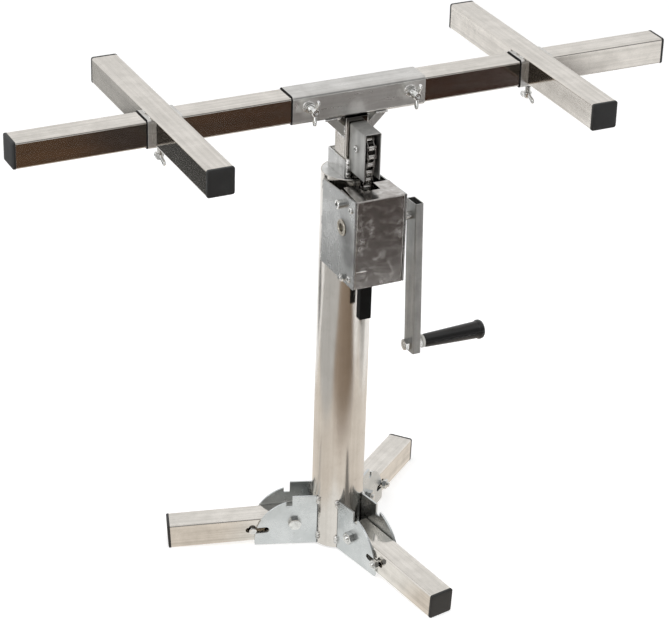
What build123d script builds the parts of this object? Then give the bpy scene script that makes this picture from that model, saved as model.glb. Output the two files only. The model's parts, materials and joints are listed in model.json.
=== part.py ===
from build123d import *
import os
from math import asin, atan2, cos, degrees, hypot, pi, radians, sin, sqrt, tan

# Cabinet lift jack: a folding tripod carries a round mast with a hand-cranked chain winch,
# a square lifting tube slides in the mast, and a beam with two cross-arms takes the load.
# Millimetres. The origin is on the mast axis at the floor, +Z is up, +X runs along the beam,
# the winch is on the -Y side and its crank on the +X side.

# Square tube stock, its sliding sleeves and its plastic end caps
TUBE = 38.0
TUBE_WALL = 1.5
TUBE_CORNER = 3.0
SLIDE_GAP = 0.4
SLEEVE_WALL = 1.8
CAP_PROUD = 0.3
CAP_LIP = 4.0
CAP_BEVEL = 1.2
CAP_PLUG = 12.0
CAP_WALL = 2.0
CAP_FIT = 0.15

# Mast and its top plate
MAST_R = 38.0
MAST_WALL = 1.5
MAST_BOTTOM = 3.0
MAST_TOP = 603.0
TOP_PLATE = 3.0
WELD_FIT = 0.05

# Lifting tube, its foot, and its guide, which reaches below and above the mast's top
LIFT_TUBE = 35.0
LIFT_WALL = 2.0
LIFT_CORNER = 3.0
LIFT_FRONT = -24.5
LIFT_FOOT = 119.0
GUIDE_WALL = 2.0
GUIDE_DEPTH = 52.0
GUIDE_CORNER = 2.5
GUIDE_BELOW = 58.0
GUIDE_ABOVE = 27.5
GUIDE_PAD_LENGTH = 70.0
GLIDE_HEIGHT = 15.0
GLIDE_SPIGOT = 20.0
GLIDE_GAP = 0.3

# Load beam over the mast, its sleeve on the lifting tube and the gusset bars below
BEAM_RISE = 109.2
BEAM_END = 492.0
BEAM_MEET = 1.0
SLEEVE_ENDS = (-96.5, 104.5)
GUSSET_LEG = 29.0
GUSSET_CLIP = 12.5
GUSSET_DEPTH = 20.0
GUSSET_FRONT = -21.0

# Cross-arms on their collars
ARM_X = 281.0
ARM_HALF = 205.0
ARM_RISE = 6.2
COLLAR_LIP = 6.0

# Wing bolts and the nuts that hold them; on the beam they sit above its centre line and lean
WING_X = {-1: -73.5, 1: 80.5}
WING_RISE = 4.0
WING_LEAN = 9.0
WING_R = 4.0
WING_OUT = 16.0
WING_HUB_R = 6.5
WING_HUB = 9.0
WING_EAR = (12.6, 8.0, 3.8)
WING_EAR_ROOT = (4.0, 4.5, 4.0)
WING_EAR_T = 3.2
WING_TIP_GAP = 0.3
LOCK_NUT = (13.0, 6.5)

# Folding legs: azimuths, reach, droop and the height of the pivot over the leg's centre line
LEG_AZIMUTHS = (160.7, 280.7, 40.7)
LEG_TIP_R = 253.5
LEG_DROOP = 3.5
LEG_TAIL = 16.0
PIVOT_R = 65.0
PIVOT_RISE = 8.5
PIVOT_BOLT_R = 5.0
PIVOT_HEAD = (17.0, 6.5)
PIVOT_NUT = (17.0, 8.0)

# Fan plates that hold each leg, and the lock bolt that slides in the leg
FAN_T = 3.0
FAN_TOP = 84.0
FAN_FOOT = 3.0
FAN_REACH = 124.0
FAN_SHOULDER = (78.0, 74.2)
FAN_BULGE = (107.4, 55.5)
FAN_NOTCH_FLOOR = 67.0
FAN_ROOT_R = 30.0
LOCK_BOLT_R = 4.0
LOCK_SEAT = 43.0
LOCK_HEAD = (5.5, 1.2)
LOCK_CLEAR = 0.4
LOCK_DRAW = 6.0
BOLT_TAIL = 3.0

# Winch housing, which stands out from the front of the mast just below its top
PLATE_T = 2.5
PLATE_IN = 37.0
PLATE_REACH = 66.0
PLATE_BACK = -3.0
PLATE_DROP = 0.5
PLATE_HEIGHT = 132.5
PLATE_FALL = 6.5
COVER_T = 1.2
COVER_GAP = 0.3
COVER_FLANGE = 25.0
COVER_LID = 51.0
COVER_TAPER = 4.0
COVER_BEND = 2.0
LID_NOTCH_HALF = 12.5
LID_NOTCH_INSET = 29.0
SCREW_INSET = 12.0
SCREW_FROM_FOOT = 11.5
SCREW_FROM_TOP = 16.7
SCREW_R = 2.5
SCREW_HEAD = (4.6, 2.4)
SCREW_LENGTH = 9.0

# Crank shaft before the mast and below its top, its bushes, the ratchet and the crank
SHAFT_REACH = 27.3
SHAFT_DROP = 54.0
SHAFT_R = 6.0
SHAFT_RECESS = 3.0
RUN_GAP = 0.06
BUSH_R = 10.5
BUSH_PROUD = 1.0
BUSH_FLANGE = (12.5, 2.0)
BUSH_LENGTH = 10.0
HUB_R = 13.0
HUB_HALF = 16.5
RATCHET_TEETH = 20
RATCHET_R = (17.0, 20.0)
RATCHET_T = 6.0
RATCHET_PHASE = 38.5
PAWL_BEHIND = 2.1
PAWL_ABOVE = 35.1
PAWL_HUB_R = 6.5
PAWL_SCREW_R = 4.0
PAWL_HEAD = (6.5, 8.0)
PAWL_SOCKET = (6.0, 4.0)
PAWL_LIFT = 12.0
PAWL_NOSE = ((17.7, 40.0), (21.5, 39.8), (21.6, 54.0))
CRANK_X = 67.0
CRANK_SECTION = (13.0, 28.0)
CRANK_WALL = 1.5
CRANK_CORNER = 2.0
CRANK_ABOVE = 20.0
CRANK_BELOW = 210.0
CRANK_TILT = 2.9
HANDLE_R = 199.0
HANDLE_BOLT_R = 5.0
HANDLE_HEAD = (16.0, 8.0)
HANDLE_NUT = (16.0, 6.5)
HANDLE_WASHER = (9.5, 4.0)
GRIP_GAP = 0.3
GRIP_PROFILE = ((0.0, 9.0), (3.0, 9.8), (60.0, 11.8), (86.0, 12.5), (87.0, 14.2), (91.5, 14.2), (95.0, 10.2))
GRIP_END = 14.0

# Roller chain and its sprockets
PITCH = 12.7
ROLLER_R = 3.95
LINK_HEIGHT = 10.4
LINK_T = 1.5
LINK_INNER = 7.9
LINK_GAP = 0.05
RIVET = (1.9, 0.9)
IDLER_TEETH = 9
DRIVE_TEETH = 10
SPROCKET_T = 7.0
TOOTH_GAP_R = 4.25
TOOTH_TIP = 2.3
TOOTH_FLANK = 41.0
IDLER_RISE = 52.0
IDLER_BORE_R = 4.0
IDLER_HUB = (9.5, 10.6)
CHAIN_LIFT_GAP = 0.3
CHAIN_LUG_LINKS = 38
CHAIN_TAIL_DROP = 195.0
GUIDE_BOLT_AHEAD = 9.8
GUIDE_BOLT_DROP = 72.4
GUIDE_BOLT_R = 3.0
GUIDE_BOLT_HEAD = (10.0, 4.0)
SPACER_R = 4.3
LIP_BEHIND = 14.8
LIP_DROP = 34.0
LIP_RIDE = 13.0
SHOE_START = -29.0
SHOE_T = 2.5
SHOE_GAP = 1.9
END_SLEEVE_WALL = 1.0
END_SLEEVE_GAP = 0.15
END_SLEEVE_LENGTH = 67.2
LUG_HALF = 3.5
LUG_FOOT = 20.0
LUG_HEAD_R = 4.5
LUG_PIN_R = 1.9

# Chain box round the idler, welded to the guide
BOX_HALF = 12.5
BOX_WALL = 1.5
BOX_REACH = 24.4
BOX_BELOW = 39.5
BOX_ABOVE = 30.0
BOX_BEND = 2.5
AXLE_HEAD = (5.5, 1.2)
AXLE_NUT = (13.0, 6.5)

# Places and sizes that follow from the values above
BEAM_Z = MAST_TOP + BEAM_RISE
GUIDE_BOTTOM = MAST_TOP - GUIDE_BELOW
GUIDE_TOP = MAST_TOP + GUIDE_ABOVE
PLATE_FRONT = -MAST_R - PLATE_REACH
PLATE_TOP = MAST_TOP - PLATE_DROP
PLATE_FOOT = PLATE_TOP - PLATE_HEIGHT
SCREW_Y = PLATE_FRONT + SCREW_INSET
SCREW_Z = (PLATE_FOOT + SCREW_FROM_FOOT, PLATE_TOP - SCREW_FROM_TOP)
SHAFT_Y = -MAST_R - SHAFT_REACH
SHAFT_Z = MAST_TOP - SHAFT_DROP
PAWL_Y = SHAFT_Y + PAWL_BEHIND
PAWL_Z = SHAFT_Z + PAWL_ABOVE
TUBE_IN = TUBE - 2 * TUBE_WALL
SLEEVE_IN = TUBE + 2 * SLIDE_GAP
SLEEVE_OUT = SLEEVE_IN + 2 * SLEEVE_WALL
SLEEVE_CORNER = TUBE_CORNER + SLIDE_GAP + SLEEVE_WALL
SLEEVE_BOTTOM = BEAM_Z - SLEEVE_OUT / 2
MAST_BORE = MAST_R - MAST_WALL
LIFT_CENTRE = LIFT_FRONT + LIFT_TUBE / 2
LIFT_BACK = LIFT_FRONT + LIFT_TUBE
GUIDE_HALF = LIFT_TUBE / 2 + SLIDE_GAP + GUIDE_WALL
GUIDE_FRONT = LIFT_FRONT - SLIDE_GAP - GUIDE_WALL
GUIDE_BACK = GUIDE_FRONT + GUIDE_DEPTH
PLATE_OUT = PLATE_IN + PLATE_T
INNER_PLATE = LINK_INNER / 2 + LINK_T
OUTER_PLATE = INNER_PLATE + LINK_GAP + LINK_T
CHAIN_HALF = OUTER_PLATE + RIVET[1]
CHAIN_SLOT_HALF = CHAIN_HALF + 1.5
CHAIN_BACK_Y = LIFT_FRONT - CHAIN_LIFT_GAP - LINK_HEIGHT / 2
IDLER_R = PITCH / (2 * sin(pi / IDLER_TEETH))
DRIVE_R = PITCH / (2 * sin(pi / DRIVE_TEETH))
IDLER_Y = CHAIN_BACK_Y - IDLER_R
IDLER_Z = MAST_TOP + IDLER_RISE
LIP_Y = SHAFT_Y + LIP_BEHIND
LIP_Z = SHAFT_Z - LIP_DROP
TAIL_Y = LIP_Y - LIP_RIDE
CHAIN_TAIL_Z = MAST_TOP - CHAIN_TAIL_DROP
GUIDE_BOLT_Y = TAIL_Y - GUIDE_BOLT_AHEAD
GUIDE_BOLT_Z = SHAFT_Z - GUIDE_BOLT_DROP
BOX_FRONT = IDLER_Y - BOX_REACH
BOX_FOOT = IDLER_Z - BOX_BELOW
BOX_TOP = IDLER_Z + BOX_ABOVE
GRIP_LENGTH = GRIP_PROFILE[-1][0]
FAN_IN = TUBE / 2 + SLIDE_GAP
FAN_OUT = FAN_IN + FAN_T
LEG_REACH = LEG_TIP_R - PIVOT_R
CAP_HALF = TUBE / 2 + CAP_PROUD
PIVOT_Z = LEG_REACH * sin(radians(LEG_DROOP)) + (PIVOT_RISE + CAP_HALF) * cos(radians(LEG_DROOP))


# Shared building blocks


def plane_to(origin, z_dir, x_dir):
    """Plane at a point, facing z_dir, with its local x along x_dir."""
    return Plane(origin=origin, x_dir=x_dir, z_dir=z_dir)


def square_section(size, wall, corner):
    """Ring of a square tube with rounded corners."""
    inside = size - 2 * wall
    return RectangleRounded(size, size, corner) - RectangleRounded(inside, inside, corner - wall)


def rod(plane, radius, length):
    """Round bar that starts on a plane."""
    return extrude(plane * Circle(radius), amount=length)


def hex_bar(plane, across_flats, length):
    """Six-sided bar that starts on a plane."""
    return extrude(plane * RegularPolygon(across_flats / 2, 6, major_radius=False), amount=length)


def hex_bolt(plane, radius, length, head):
    """Bolt whose head stands on the far side of a plane and whose shank runs along its normal."""
    across_flats, height = head
    return rod(plane, radius, length) + hex_bar(plane, across_flats, -height)


def round_bolt(plane, radius, length, head):
    """Bolt with a low round head on the far side of a plane and its shank along the plane's normal."""
    head_r, height = head
    return rod(plane, radius, length) + rod(plane, head_r, -height)


def hex_nut(plane, radius, nut):
    """Nut that starts on a plane, with its bore left smooth."""
    across_flats, height = nut
    return hex_bar(plane, across_flats, height) - rod(plane, radius, height)


def end_cap(plane):
    """Plastic cap for a tube that ends on a plane: a proud lip and a hollow plug."""
    lip_size = TUBE + 2 * CAP_PROUD
    lip = extrude(plane * RectangleRounded(lip_size, lip_size, TUBE_CORNER + CAP_PROUD), amount=CAP_LIP)
    rim = lip.faces().sort_by(Axis(plane.origin, plane.z_dir))[-1].edges()
    plug_size = TUBE_IN - 2 * CAP_FIT
    plug = square_section(plug_size, CAP_WALL, CAP_WALL + 0.5)
    return chamfer(rim, CAP_BEVEL) + extrude(plane * plug, amount=-CAP_PLUG)


def wing_bolt(plane, shank):
    """Wing bolt with its hub on a plane, its ears along the plane's x and its shank behind it."""
    hub = extrude(plane * Circle(WING_HUB_R), amount=WING_HUB, taper=6)
    bolt = hub + rod(plane, WING_R, -shank)
    side = Plane(origin=plane.origin, x_dir=plane.x_dir, z_dir=plane.x_dir.cross(plane.z_dir))
    tip_x, tip_y, tip_r = WING_EAR
    root_x, root_y, root_r = WING_EAR_ROOT
    for sign in (-1, 1):
        root = Pos(sign * root_x, root_y) * Circle(root_r)
        tip = Pos(sign * tip_x, tip_y) * Circle(tip_r)
        ear = make_hull(root.edges() + tip.edges())
        bolt += extrude(side * ear, amount=WING_EAR_T / 2, both=True)
    return bolt


def group(solids):
    """Separate solids that share one node."""
    return Compound(children=list(solids))


# Mast, lifting tube and guide


def mast_tube():
    """Round mast."""
    ring = Circle(MAST_R) - Circle(MAST_BORE)
    return extrude(Plane.XY.offset(MAST_BOTTOM) * ring, amount=MAST_TOP - MAST_BOTTOM)


def guide_outline():
    """Outer outline of the guide, seen from above."""
    return Pos(0, (GUIDE_FRONT + GUIDE_BACK) / 2) * RectangleRounded(2 * GUIDE_HALF, GUIDE_DEPTH, GUIDE_CORNER)


def chain_slot():
    """Outline of the gap that the chain runs down, in front of the lifting tube."""
    depth = MAST_R
    return Pos(0, LIFT_FRONT - SLIDE_GAP - depth / 2) * Rectangle(2 * CHAIN_SLOT_HALF, depth)


def mast_top_plate():
    """Disc that closes the top of the mast around the guide and the chain."""
    disc = Circle(MAST_BORE - WELD_FIT) - guide_outline()
    disc -= chain_slot()
    return extrude(Plane.XY.offset(MAST_TOP - TOP_PLATE) * disc, amount=TOP_PLATE)


def guide_sleeve():
    """Rectangular guide, slotted in front for the chain."""
    inside = Pos(0, (GUIDE_FRONT + GUIDE_BACK) / 2) * RectangleRounded(
        2 * (GUIDE_HALF - GUIDE_WALL), GUIDE_DEPTH - 2 * GUIDE_WALL, GUIDE_CORNER - GUIDE_WALL
    )
    ring = guide_outline() - inside - chain_slot()
    return extrude(Plane.XY.offset(GUIDE_BOTTOM) * ring, amount=GUIDE_TOP - GUIDE_BOTTOM)


def guide_pad():
    """Plastic pad that fills the guide behind the lifting tube."""
    front = LIFT_BACK + SLIDE_GAP
    back = GUIDE_BACK - GUIDE_WALL
    width = LIFT_TUBE - 2 * LIFT_CORNER
    pad = Pos(0, (front + back) / 2) * Rectangle(width, back - front)
    start = GUIDE_TOP - GUIDE_PAD_LENGTH - GUIDE_WALL
    return extrude(Plane.XY.offset(start) * pad, amount=GUIDE_PAD_LENGTH)


def inner_tube():
    """Square lifting tube from its foot up to the beam sleeve."""
    ring = Pos(0, LIFT_CENTRE) * square_section(LIFT_TUBE, LIFT_WALL, LIFT_CORNER)
    return extrude(Plane.XY.offset(LIFT_FOOT) * ring, amount=SLEEVE_BOTTOM - LIFT_FOOT)


def foot_glide():
    """Round plastic foot that steadies the lifting tube in the mast."""
    disc = extrude(
        Plane.XY.offset(LIFT_FOOT - GLIDE_HEIGHT) * Circle(MAST_BORE - GLIDE_GAP), amount=GLIDE_HEIGHT
    )
    inside = LIFT_TUBE - 2 * LIFT_WALL - 2 * CAP_FIT
    spigot = Pos(0, LIFT_CENTRE) * RectangleRounded(inside, inside, LIFT_CORNER)
    return disc + extrude(Plane.XY.offset(LIFT_FOOT) * spigot, amount=GLIDE_SPIGOT)


# Load head, beam and cross-arms


def along_x(x):
    """Plane across the beam at a station along X."""
    return plane_to((x, 0, BEAM_Z), (1, 0, 0), (0, 1, 0))


def beam_sleeve():
    """Sleeve that holds both beam tubes, drilled for its wing bolts."""
    ring = square_section(SLEEVE_OUT, SLEEVE_WALL, SLEEVE_CORNER)
    left, right = SLEEVE_ENDS
    sleeve = extrude(along_x(left) * ring, amount=right - left)
    for sign in (-1, 1):
        sleeve -= rod(wing_plane(sign, 0), WING_R + RUN_GAP, -2 * SLEEVE_WALL)
    return sleeve


def wing_plane(sign, out):
    """Plane on the front of the beam sleeve, some way out, where a wing bolt sits."""
    lean = radians(WING_LEAN)
    place = (WING_X[sign], -SLEEVE_OUT / 2 - out, BEAM_Z + WING_RISE)
    return plane_to(place, (0, -1, 0), (sin(lean), 0, cos(lean)))


def beam_lock_nuts():
    """Nuts welded to the front of the beam sleeve."""
    return group(hex_nut(wing_plane(sign, 0), WING_R + RUN_GAP, LOCK_NUT) for sign in (-1, 1))


def beam_wing_bolt(sign):
    """Wing bolt that clamps one beam tube."""
    shank = WING_OUT + SLEEVE_WALL + SLIDE_GAP - WING_TIP_GAP
    return wing_bolt(wing_plane(sign, WING_OUT), shank)


def head_gussets():
    """Two slanting gusset bars between the lifting tube and the beam sleeve."""
    bars = []
    for sign in (-1, 1):
        root = LIFT_TUBE / 2
        corners = [
            (sign * (root + GUSSET_LEG), SLEEVE_BOTTOM),
            (sign * (root + GUSSET_CLIP), SLEEVE_BOTTOM),
            (sign * root, SLEEVE_BOTTOM - GUSSET_CLIP),
            (sign * root, SLEEVE_BOTTOM - GUSSET_LEG),
        ]
        face = make_face(Polyline(*corners, close=True))
        front = plane_to((0, GUSSET_FRONT, 0), (0, -1, 0), (1, 0, 0))
        bars.append(extrude(front * face, amount=-GUSSET_DEPTH))
    return group(bars)


def beam_tube(sign):
    """Square beam tube, from the middle of the sleeve out to its cap."""
    ring = square_section(TUBE, TUBE_WALL, TUBE_CORNER)
    start = plane_to((sign * BEAM_MEET, 0, BEAM_Z), (sign, 0, 0), (0, 1, 0))
    return extrude(start * ring, amount=BEAM_END - CAP_LIP - BEAM_MEET)


def beam_cap(sign):
    """Cap on the outer end of a beam tube."""
    return end_cap(plane_to((sign * (BEAM_END - CAP_LIP), 0, BEAM_Z), (sign, 0, 0), (0, 1, 0)))


def arm_plane(sign, y, facing):
    """Plane across a cross-arm at a station along Y."""
    centre_z = BEAM_Z + ARM_RISE
    return plane_to((sign * ARM_X, y, centre_z), (0, facing, 0), (1, 0, 0))


def crossarm(sign):
    """Cross-arm tube, notched from below so that it straddles its collar."""
    half = ARM_HALF - CAP_LIP
    arm = extrude(arm_plane(sign, -half, 1) * square_section(TUBE, TUBE_WALL, TUBE_CORNER), amount=2 * half)
    notch_top = BEAM_Z + SLEEVE_OUT / 2
    notch = Box(2 * TUBE, SLEEVE_OUT, 2 * SLEEVE_OUT, align=(Align.CENTER, Align.CENTER, Align.MAX))
    return arm - Pos(sign * ARM_X, 0, notch_top) * notch


def crossarm_collar(sign):
    """Collar that slides along the beam under a cross-arm, drilled for its wing bolt."""
    length = TUBE + 2 * COLLAR_LIP
    ring = square_section(SLEEVE_OUT, SLEEVE_WALL, SLEEVE_CORNER)
    collar = extrude(along_x(sign * ARM_X - length / 2) * ring, amount=length)
    return collar - rod(collar_plane(sign, 0), WING_R + RUN_GAP, -2 * SLEEVE_WALL)


def crossarm_caps(sign):
    """Caps on both ends of a cross-arm."""
    half = ARM_HALF - CAP_LIP
    return group(end_cap(arm_plane(sign, facing * half, facing)) for facing in (-1, 1))


def collar_plane(sign, down):
    """Plane below a collar where its wing bolt sits."""
    return plane_to((sign * ARM_X, 0, SLEEVE_BOTTOM - down), (0, 0, -1), (0, 1, 0))


def collar_nut(sign):
    """Nut welded under a collar."""
    return hex_nut(collar_plane(sign, 0), WING_R + RUN_GAP, LOCK_NUT)


def collar_wing_bolt(sign):
    """Wing bolt that clamps a collar to the beam."""
    shank = WING_OUT + SLEEVE_WALL + SLIDE_GAP - WING_TIP_GAP
    return wing_bolt(collar_plane(sign, WING_OUT), shank)


# Tripod: fan plates, legs and lock bolts, drawn along +X and turned to each azimuth


def turn_to(azimuth, shape):
    """Turn a shape drawn along +X to a leg's azimuth."""
    return Rot(0, 0, azimuth) * shape


def from_leg(shape):
    """Move a shape from the leg's own frame, at its pivot, to its drooping rest place."""
    return Pos(PIVOT_R, 0, PIVOT_Z) * Rot(0, LEG_DROOP, 0) * shape


def fan_edge():
    """Curved outer edge of a fan plate."""
    return ThreePointArc(FAN_SHOULDER, FAN_BULGE, (FAN_REACH, FAN_FOOT))


def lock_rest():
    """Distance along the leg from its pivot at which the lock bolt stands clear of the fan plates."""
    droop = radians(LEG_DROOP)
    centre = fan_edge().arc_center
    start_x = PIVOT_R - PIVOT_RISE * sin(droop) - centre.X
    start_z = PIVOT_Z - PIVOT_RISE * cos(droop) - centre.Y
    along = start_x * cos(droop) - start_z * sin(droop)
    off = start_x * sin(droop) + start_z * cos(droop)
    clear = fan_edge().radius + LOCK_BOLT_R + LOCK_CLEAR
    return sqrt(clear**2 - off**2) - along


def fan_plate(side):
    """Fan plate on one side of a leg, with a notch for the leg down and one for the leg up."""
    notch_r = PIVOT_R + PIVOT_RISE
    notch_half = LOCK_BOLT_R + LOCK_CLEAR
    outline = Polyline(
        (FAN_REACH, FAN_FOOT),
        (FAN_ROOT_R, FAN_FOOT),
        (FAN_ROOT_R, FAN_TOP),
        (notch_r - notch_half, FAN_TOP),
        (notch_r - notch_half, FAN_NOTCH_FLOOR),
        (notch_r + notch_half, FAN_NOTCH_FLOOR),
        FAN_SHOULDER,
    )
    upright = plane_to((0, side * FAN_IN, 0), (0, -1, 0), (1, 0, 0))
    plate = extrude(upright * make_face([outline, fan_edge()]), amount=-side * FAN_T)
    plate -= Pos(0, 0, FAN_FOOT) * Cylinder(MAST_R + WELD_FIT, 4 * FAN_TOP)
    pivot = plane_to((0, 0, 0), (0, 1, 0), (1, 0, 0))
    plate -= from_leg(extrude(pivot * Circle(PIVOT_BOLT_R + RUN_GAP), amount=TUBE, both=True))
    reach = FAN_REACH
    slot = Pos(LOCK_SEAT + reach / 2, PIVOT_RISE) * SlotCenterToCenter(reach, 2 * notch_half)
    return plate - from_leg(extrude(pivot * slot, amount=TUBE, both=True))


def fan_plates():
    """All six fan plates."""
    return group(turn_to(azimuth, fan_plate(side)) for azimuth in LEG_AZIMUTHS for side in (-1, 1))


def side_plane(x, y, z, facing):
    """Plane in the leg's own frame, facing along Y."""
    return plane_to((x, y, z), (0, facing, 0), (1, 0, 0))


def leg_pivot_bolts():
    """Pivot bolt and nut of each leg."""
    bolt = hex_bolt(
        side_plane(0, FAN_OUT, 0, -1), PIVOT_BOLT_R, 2 * FAN_OUT + PIVOT_NUT[1] + BOLT_TAIL, PIVOT_HEAD
    )
    nut = hex_nut(side_plane(0, -FAN_OUT, 0, -1), PIVOT_BOLT_R + WELD_FIT, PIVOT_NUT)
    return group(turn_to(azimuth, from_leg(piece)) for azimuth in LEG_AZIMUTHS for piece in (bolt, nut))


def leg_tube(azimuth):
    """Leg tube, bored for its pivot and slotted for its lock bolt."""
    start = plane_to((-LEG_TAIL, 0, -PIVOT_RISE), (1, 0, 0), (0, 1, 0))
    length = LEG_TAIL + LEG_REACH - CAP_LIP
    leg = extrude(start * square_section(TUBE, TUBE_WALL, TUBE_CORNER), amount=length)
    middle = side_plane(0, 0, 0, 1)
    leg -= extrude(middle * Circle(PIVOT_BOLT_R + RUN_GAP), amount=TUBE, both=True)
    reach = lock_rest() + LOCK_DRAW + LOCK_CLEAR - LOCK_SEAT
    slot = Pos(LOCK_SEAT + reach / 2, PIVOT_RISE) * SlotCenterToCenter(reach, 2 * (LOCK_BOLT_R + RUN_GAP))
    leg -= extrude(middle * slot, amount=TUBE, both=True)
    return turn_to(azimuth, from_leg(leg))


def leg_cap(azimuth):
    """Cap on the tip of a leg, which is its foot."""
    tip = plane_to((LEG_REACH - CAP_LIP, 0, -PIVOT_RISE), (1, 0, 0), (0, 1, 0))
    return turn_to(azimuth, from_leg(end_cap(tip)))


def leg_lock(azimuth):
    """Lock bolt and nut of a leg, drawn out of the fan plates' notches."""
    outside = FAN_OUT + LOCK_CLEAR
    place = lock_rest()
    bolt = round_bolt(
        side_plane(place, outside, -PIVOT_RISE, -1), LOCK_BOLT_R, 2 * outside + LOCK_NUT[1] + BOLT_TAIL, LOCK_HEAD
    )
    nut = hex_nut(side_plane(place, -outside, -PIVOT_RISE, -1), LOCK_BOLT_R + WELD_FIT, LOCK_NUT)
    return group(turn_to(azimuth, from_leg(piece)) for piece in (bolt, nut))


# Winch housing


def across(x, y, z, facing=1):
    """Plane that faces along X, with its local x along Y."""
    return plane_to((x, y, z), (facing, 0, 0), (0, 1, 0))


def winch_hole(y, z, radius):
    """Hole right across the winch housing."""
    return rod(across(-2 * PLATE_OUT, y, z), radius, 4 * PLATE_OUT)


def gearbox_plate(sign):
    """Side plate of the winch housing, lower at the back, where its edge is ground to the mast."""
    outline = Polyline(
        (PLATE_FRONT, PLATE_FOOT),
        (PLATE_BACK, PLATE_FOOT),
        (PLATE_BACK, PLATE_TOP - PLATE_FALL),
        (PLATE_FRONT, PLATE_TOP),
        close=True,
    )
    plate = extrude(across(sign * PLATE_IN, 0, 0) * make_face(outline), amount=sign * PLATE_T)
    plate -= Pos(0, 0, PLATE_FOOT) * Cylinder(MAST_R + WELD_FIT, 4 * PLATE_HEIGHT)
    plate -= winch_hole(SHAFT_Y, SHAFT_Z, BUSH_R + WELD_FIT)
    plate -= winch_hole(PAWL_Y, PAWL_Z, PAWL_SCREW_R + WELD_FIT)
    plate -= winch_hole(GUIDE_BOLT_Y, GUIDE_BOLT_Z, GUIDE_BOLT_R + WELD_FIT)
    for z in SCREW_Z:
        plate -= winch_hole(SCREW_Y, z, SCREW_R + WELD_FIT)
    return plate


def gearbox_cover():
    """Bent sheet cover: front, two side flanges and a lid notched for the chain."""
    half = PLATE_IN - COVER_GAP
    height = PLATE_HEIGHT
    corner = (Align.CENTER, Align.MIN, Align.MIN)
    outer = Pos(0, PLATE_FRONT, PLATE_FOOT) * Box(2 * half, COVER_LID, height, align=corner)
    bends = outer.edges().filter_by(Axis.Z).group_by(Axis.Y)[0]
    bends += outer.edges().filter_by(Axis.X).group_by(Axis.Y)[0].sort_by(Axis.Z)[-1:]
    outer = fillet(bends, COVER_BEND)
    inner_half = half - COVER_T
    inner = Box(2 * inner_half, COVER_LID, height - COVER_T, align=corner)
    cover = outer - Pos(0, PLATE_FRONT + COVER_T, PLATE_FOOT) * inner
    flange_cut = Box(2 * PLATE_IN, COVER_LID, height - 2 * COVER_BEND, align=corner)
    cover -= Pos(0, PLATE_FRONT + COVER_FLANGE, PLATE_FOOT) * flange_cut
    lid_back = PLATE_FRONT + COVER_LID
    taper = Polyline(
        (-half, PLATE_FRONT + COVER_BEND), (-half, lid_back), (COVER_TAPER - half, lid_back), close=True
    )
    notch_front = PLATE_FRONT + LID_NOTCH_INSET
    notch = Rectangle(2 * LID_NOTCH_HALF, lid_back - notch_front, align=(Align.CENTER, Align.MIN))
    lid_cut = make_face(taper) + Pos(0, notch_front) * notch
    lid_cut_depth = 2 * COVER_T
    cover -= extrude(Plane.XY.offset(PLATE_TOP - lid_cut_depth) * lid_cut, amount=2 * lid_cut_depth)
    for z in SCREW_Z:
        cover -= winch_hole(SCREW_Y, z, SCREW_R + WELD_FIT)
    return cover


def cover_screws():
    """Pan-head screws through the side plates into the cover's flanges."""
    screws = []
    head_r, head_h = SCREW_HEAD
    for sign in (-1, 1):
        for z in SCREW_Z:
            outside = across(sign * PLATE_OUT, SCREW_Y, z, sign)
            head = rod(outside, head_r, head_h)
            crown = head.faces().sort_by(Axis((0, 0, 0), (sign, 0, 0)))[-1].edges()
            screws.append(chamfer(crown, head_h / 2) + rod(outside, SCREW_R, -SCREW_LENGTH))
    return group(screws)


def shaft_bushes():
    """Flanged bushes in the side plates, standing a little proud of them."""
    bushes = []
    flange_r, flange_t = BUSH_FLANGE
    for sign in (-1, 1):
        bush = rod(across(sign * (PLATE_OUT + BUSH_PROUD), SHAFT_Y, SHAFT_Z, -sign), BUSH_R, BUSH_LENGTH)
        bush += rod(across(sign * PLATE_IN, SHAFT_Y, SHAFT_Z, -sign), flange_r, flange_t)
        bushes.append(bush - winch_hole(SHAFT_Y, SHAFT_Z, SHAFT_R + RUN_GAP))
    return group(bushes)


def pawl_screw():
    """Socket-head screw that ties the plates and carries the pawl, with its nut."""
    head_r, head_h = PAWL_HEAD
    socket_af, socket_depth = PAWL_SOCKET
    outside = across(-PLATE_OUT, PAWL_Y, PAWL_Z)
    screw = rod(outside, PAWL_SCREW_R, 2 * PLATE_OUT + LOCK_NUT[1] + BOLT_TAIL) + rod(outside, head_r, -head_h)
    screw -= hex_bar(outside.offset(-head_h), socket_af, socket_depth)
    nut = hex_nut(across(PLATE_OUT, PAWL_Y, PAWL_Z), PAWL_SCREW_R + WELD_FIT, LOCK_NUT)
    return group([screw, nut])


def chain_guide_bolt():
    """Lower tie bolt of the housing, with its nut on the left plate."""
    start = across(PLATE_OUT, GUIDE_BOLT_Y, GUIDE_BOLT_Z, -1)
    bolt = hex_bolt(start, GUIDE_BOLT_R, 2 * PLATE_OUT + GUIDE_BOLT_HEAD[1] + BOLT_TAIL, GUIDE_BOLT_HEAD)
    nut_plane = across(-PLATE_OUT, GUIDE_BOLT_Y, GUIDE_BOLT_Z, -1)
    return group([bolt, hex_nut(nut_plane, GUIDE_BOLT_R + WELD_FIT, GUIDE_BOLT_HEAD)])


def chain_guide_spacer():
    """Spacer tube on the lower tie bolt, in front of the chain's tail."""
    start = across(-PLATE_IN, GUIDE_BOLT_Y, GUIDE_BOLT_Z)
    return extrude(start * (Circle(SPACER_R) - Circle(GUIDE_BOLT_R + WELD_FIT)), amount=2 * PLATE_IN)


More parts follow.
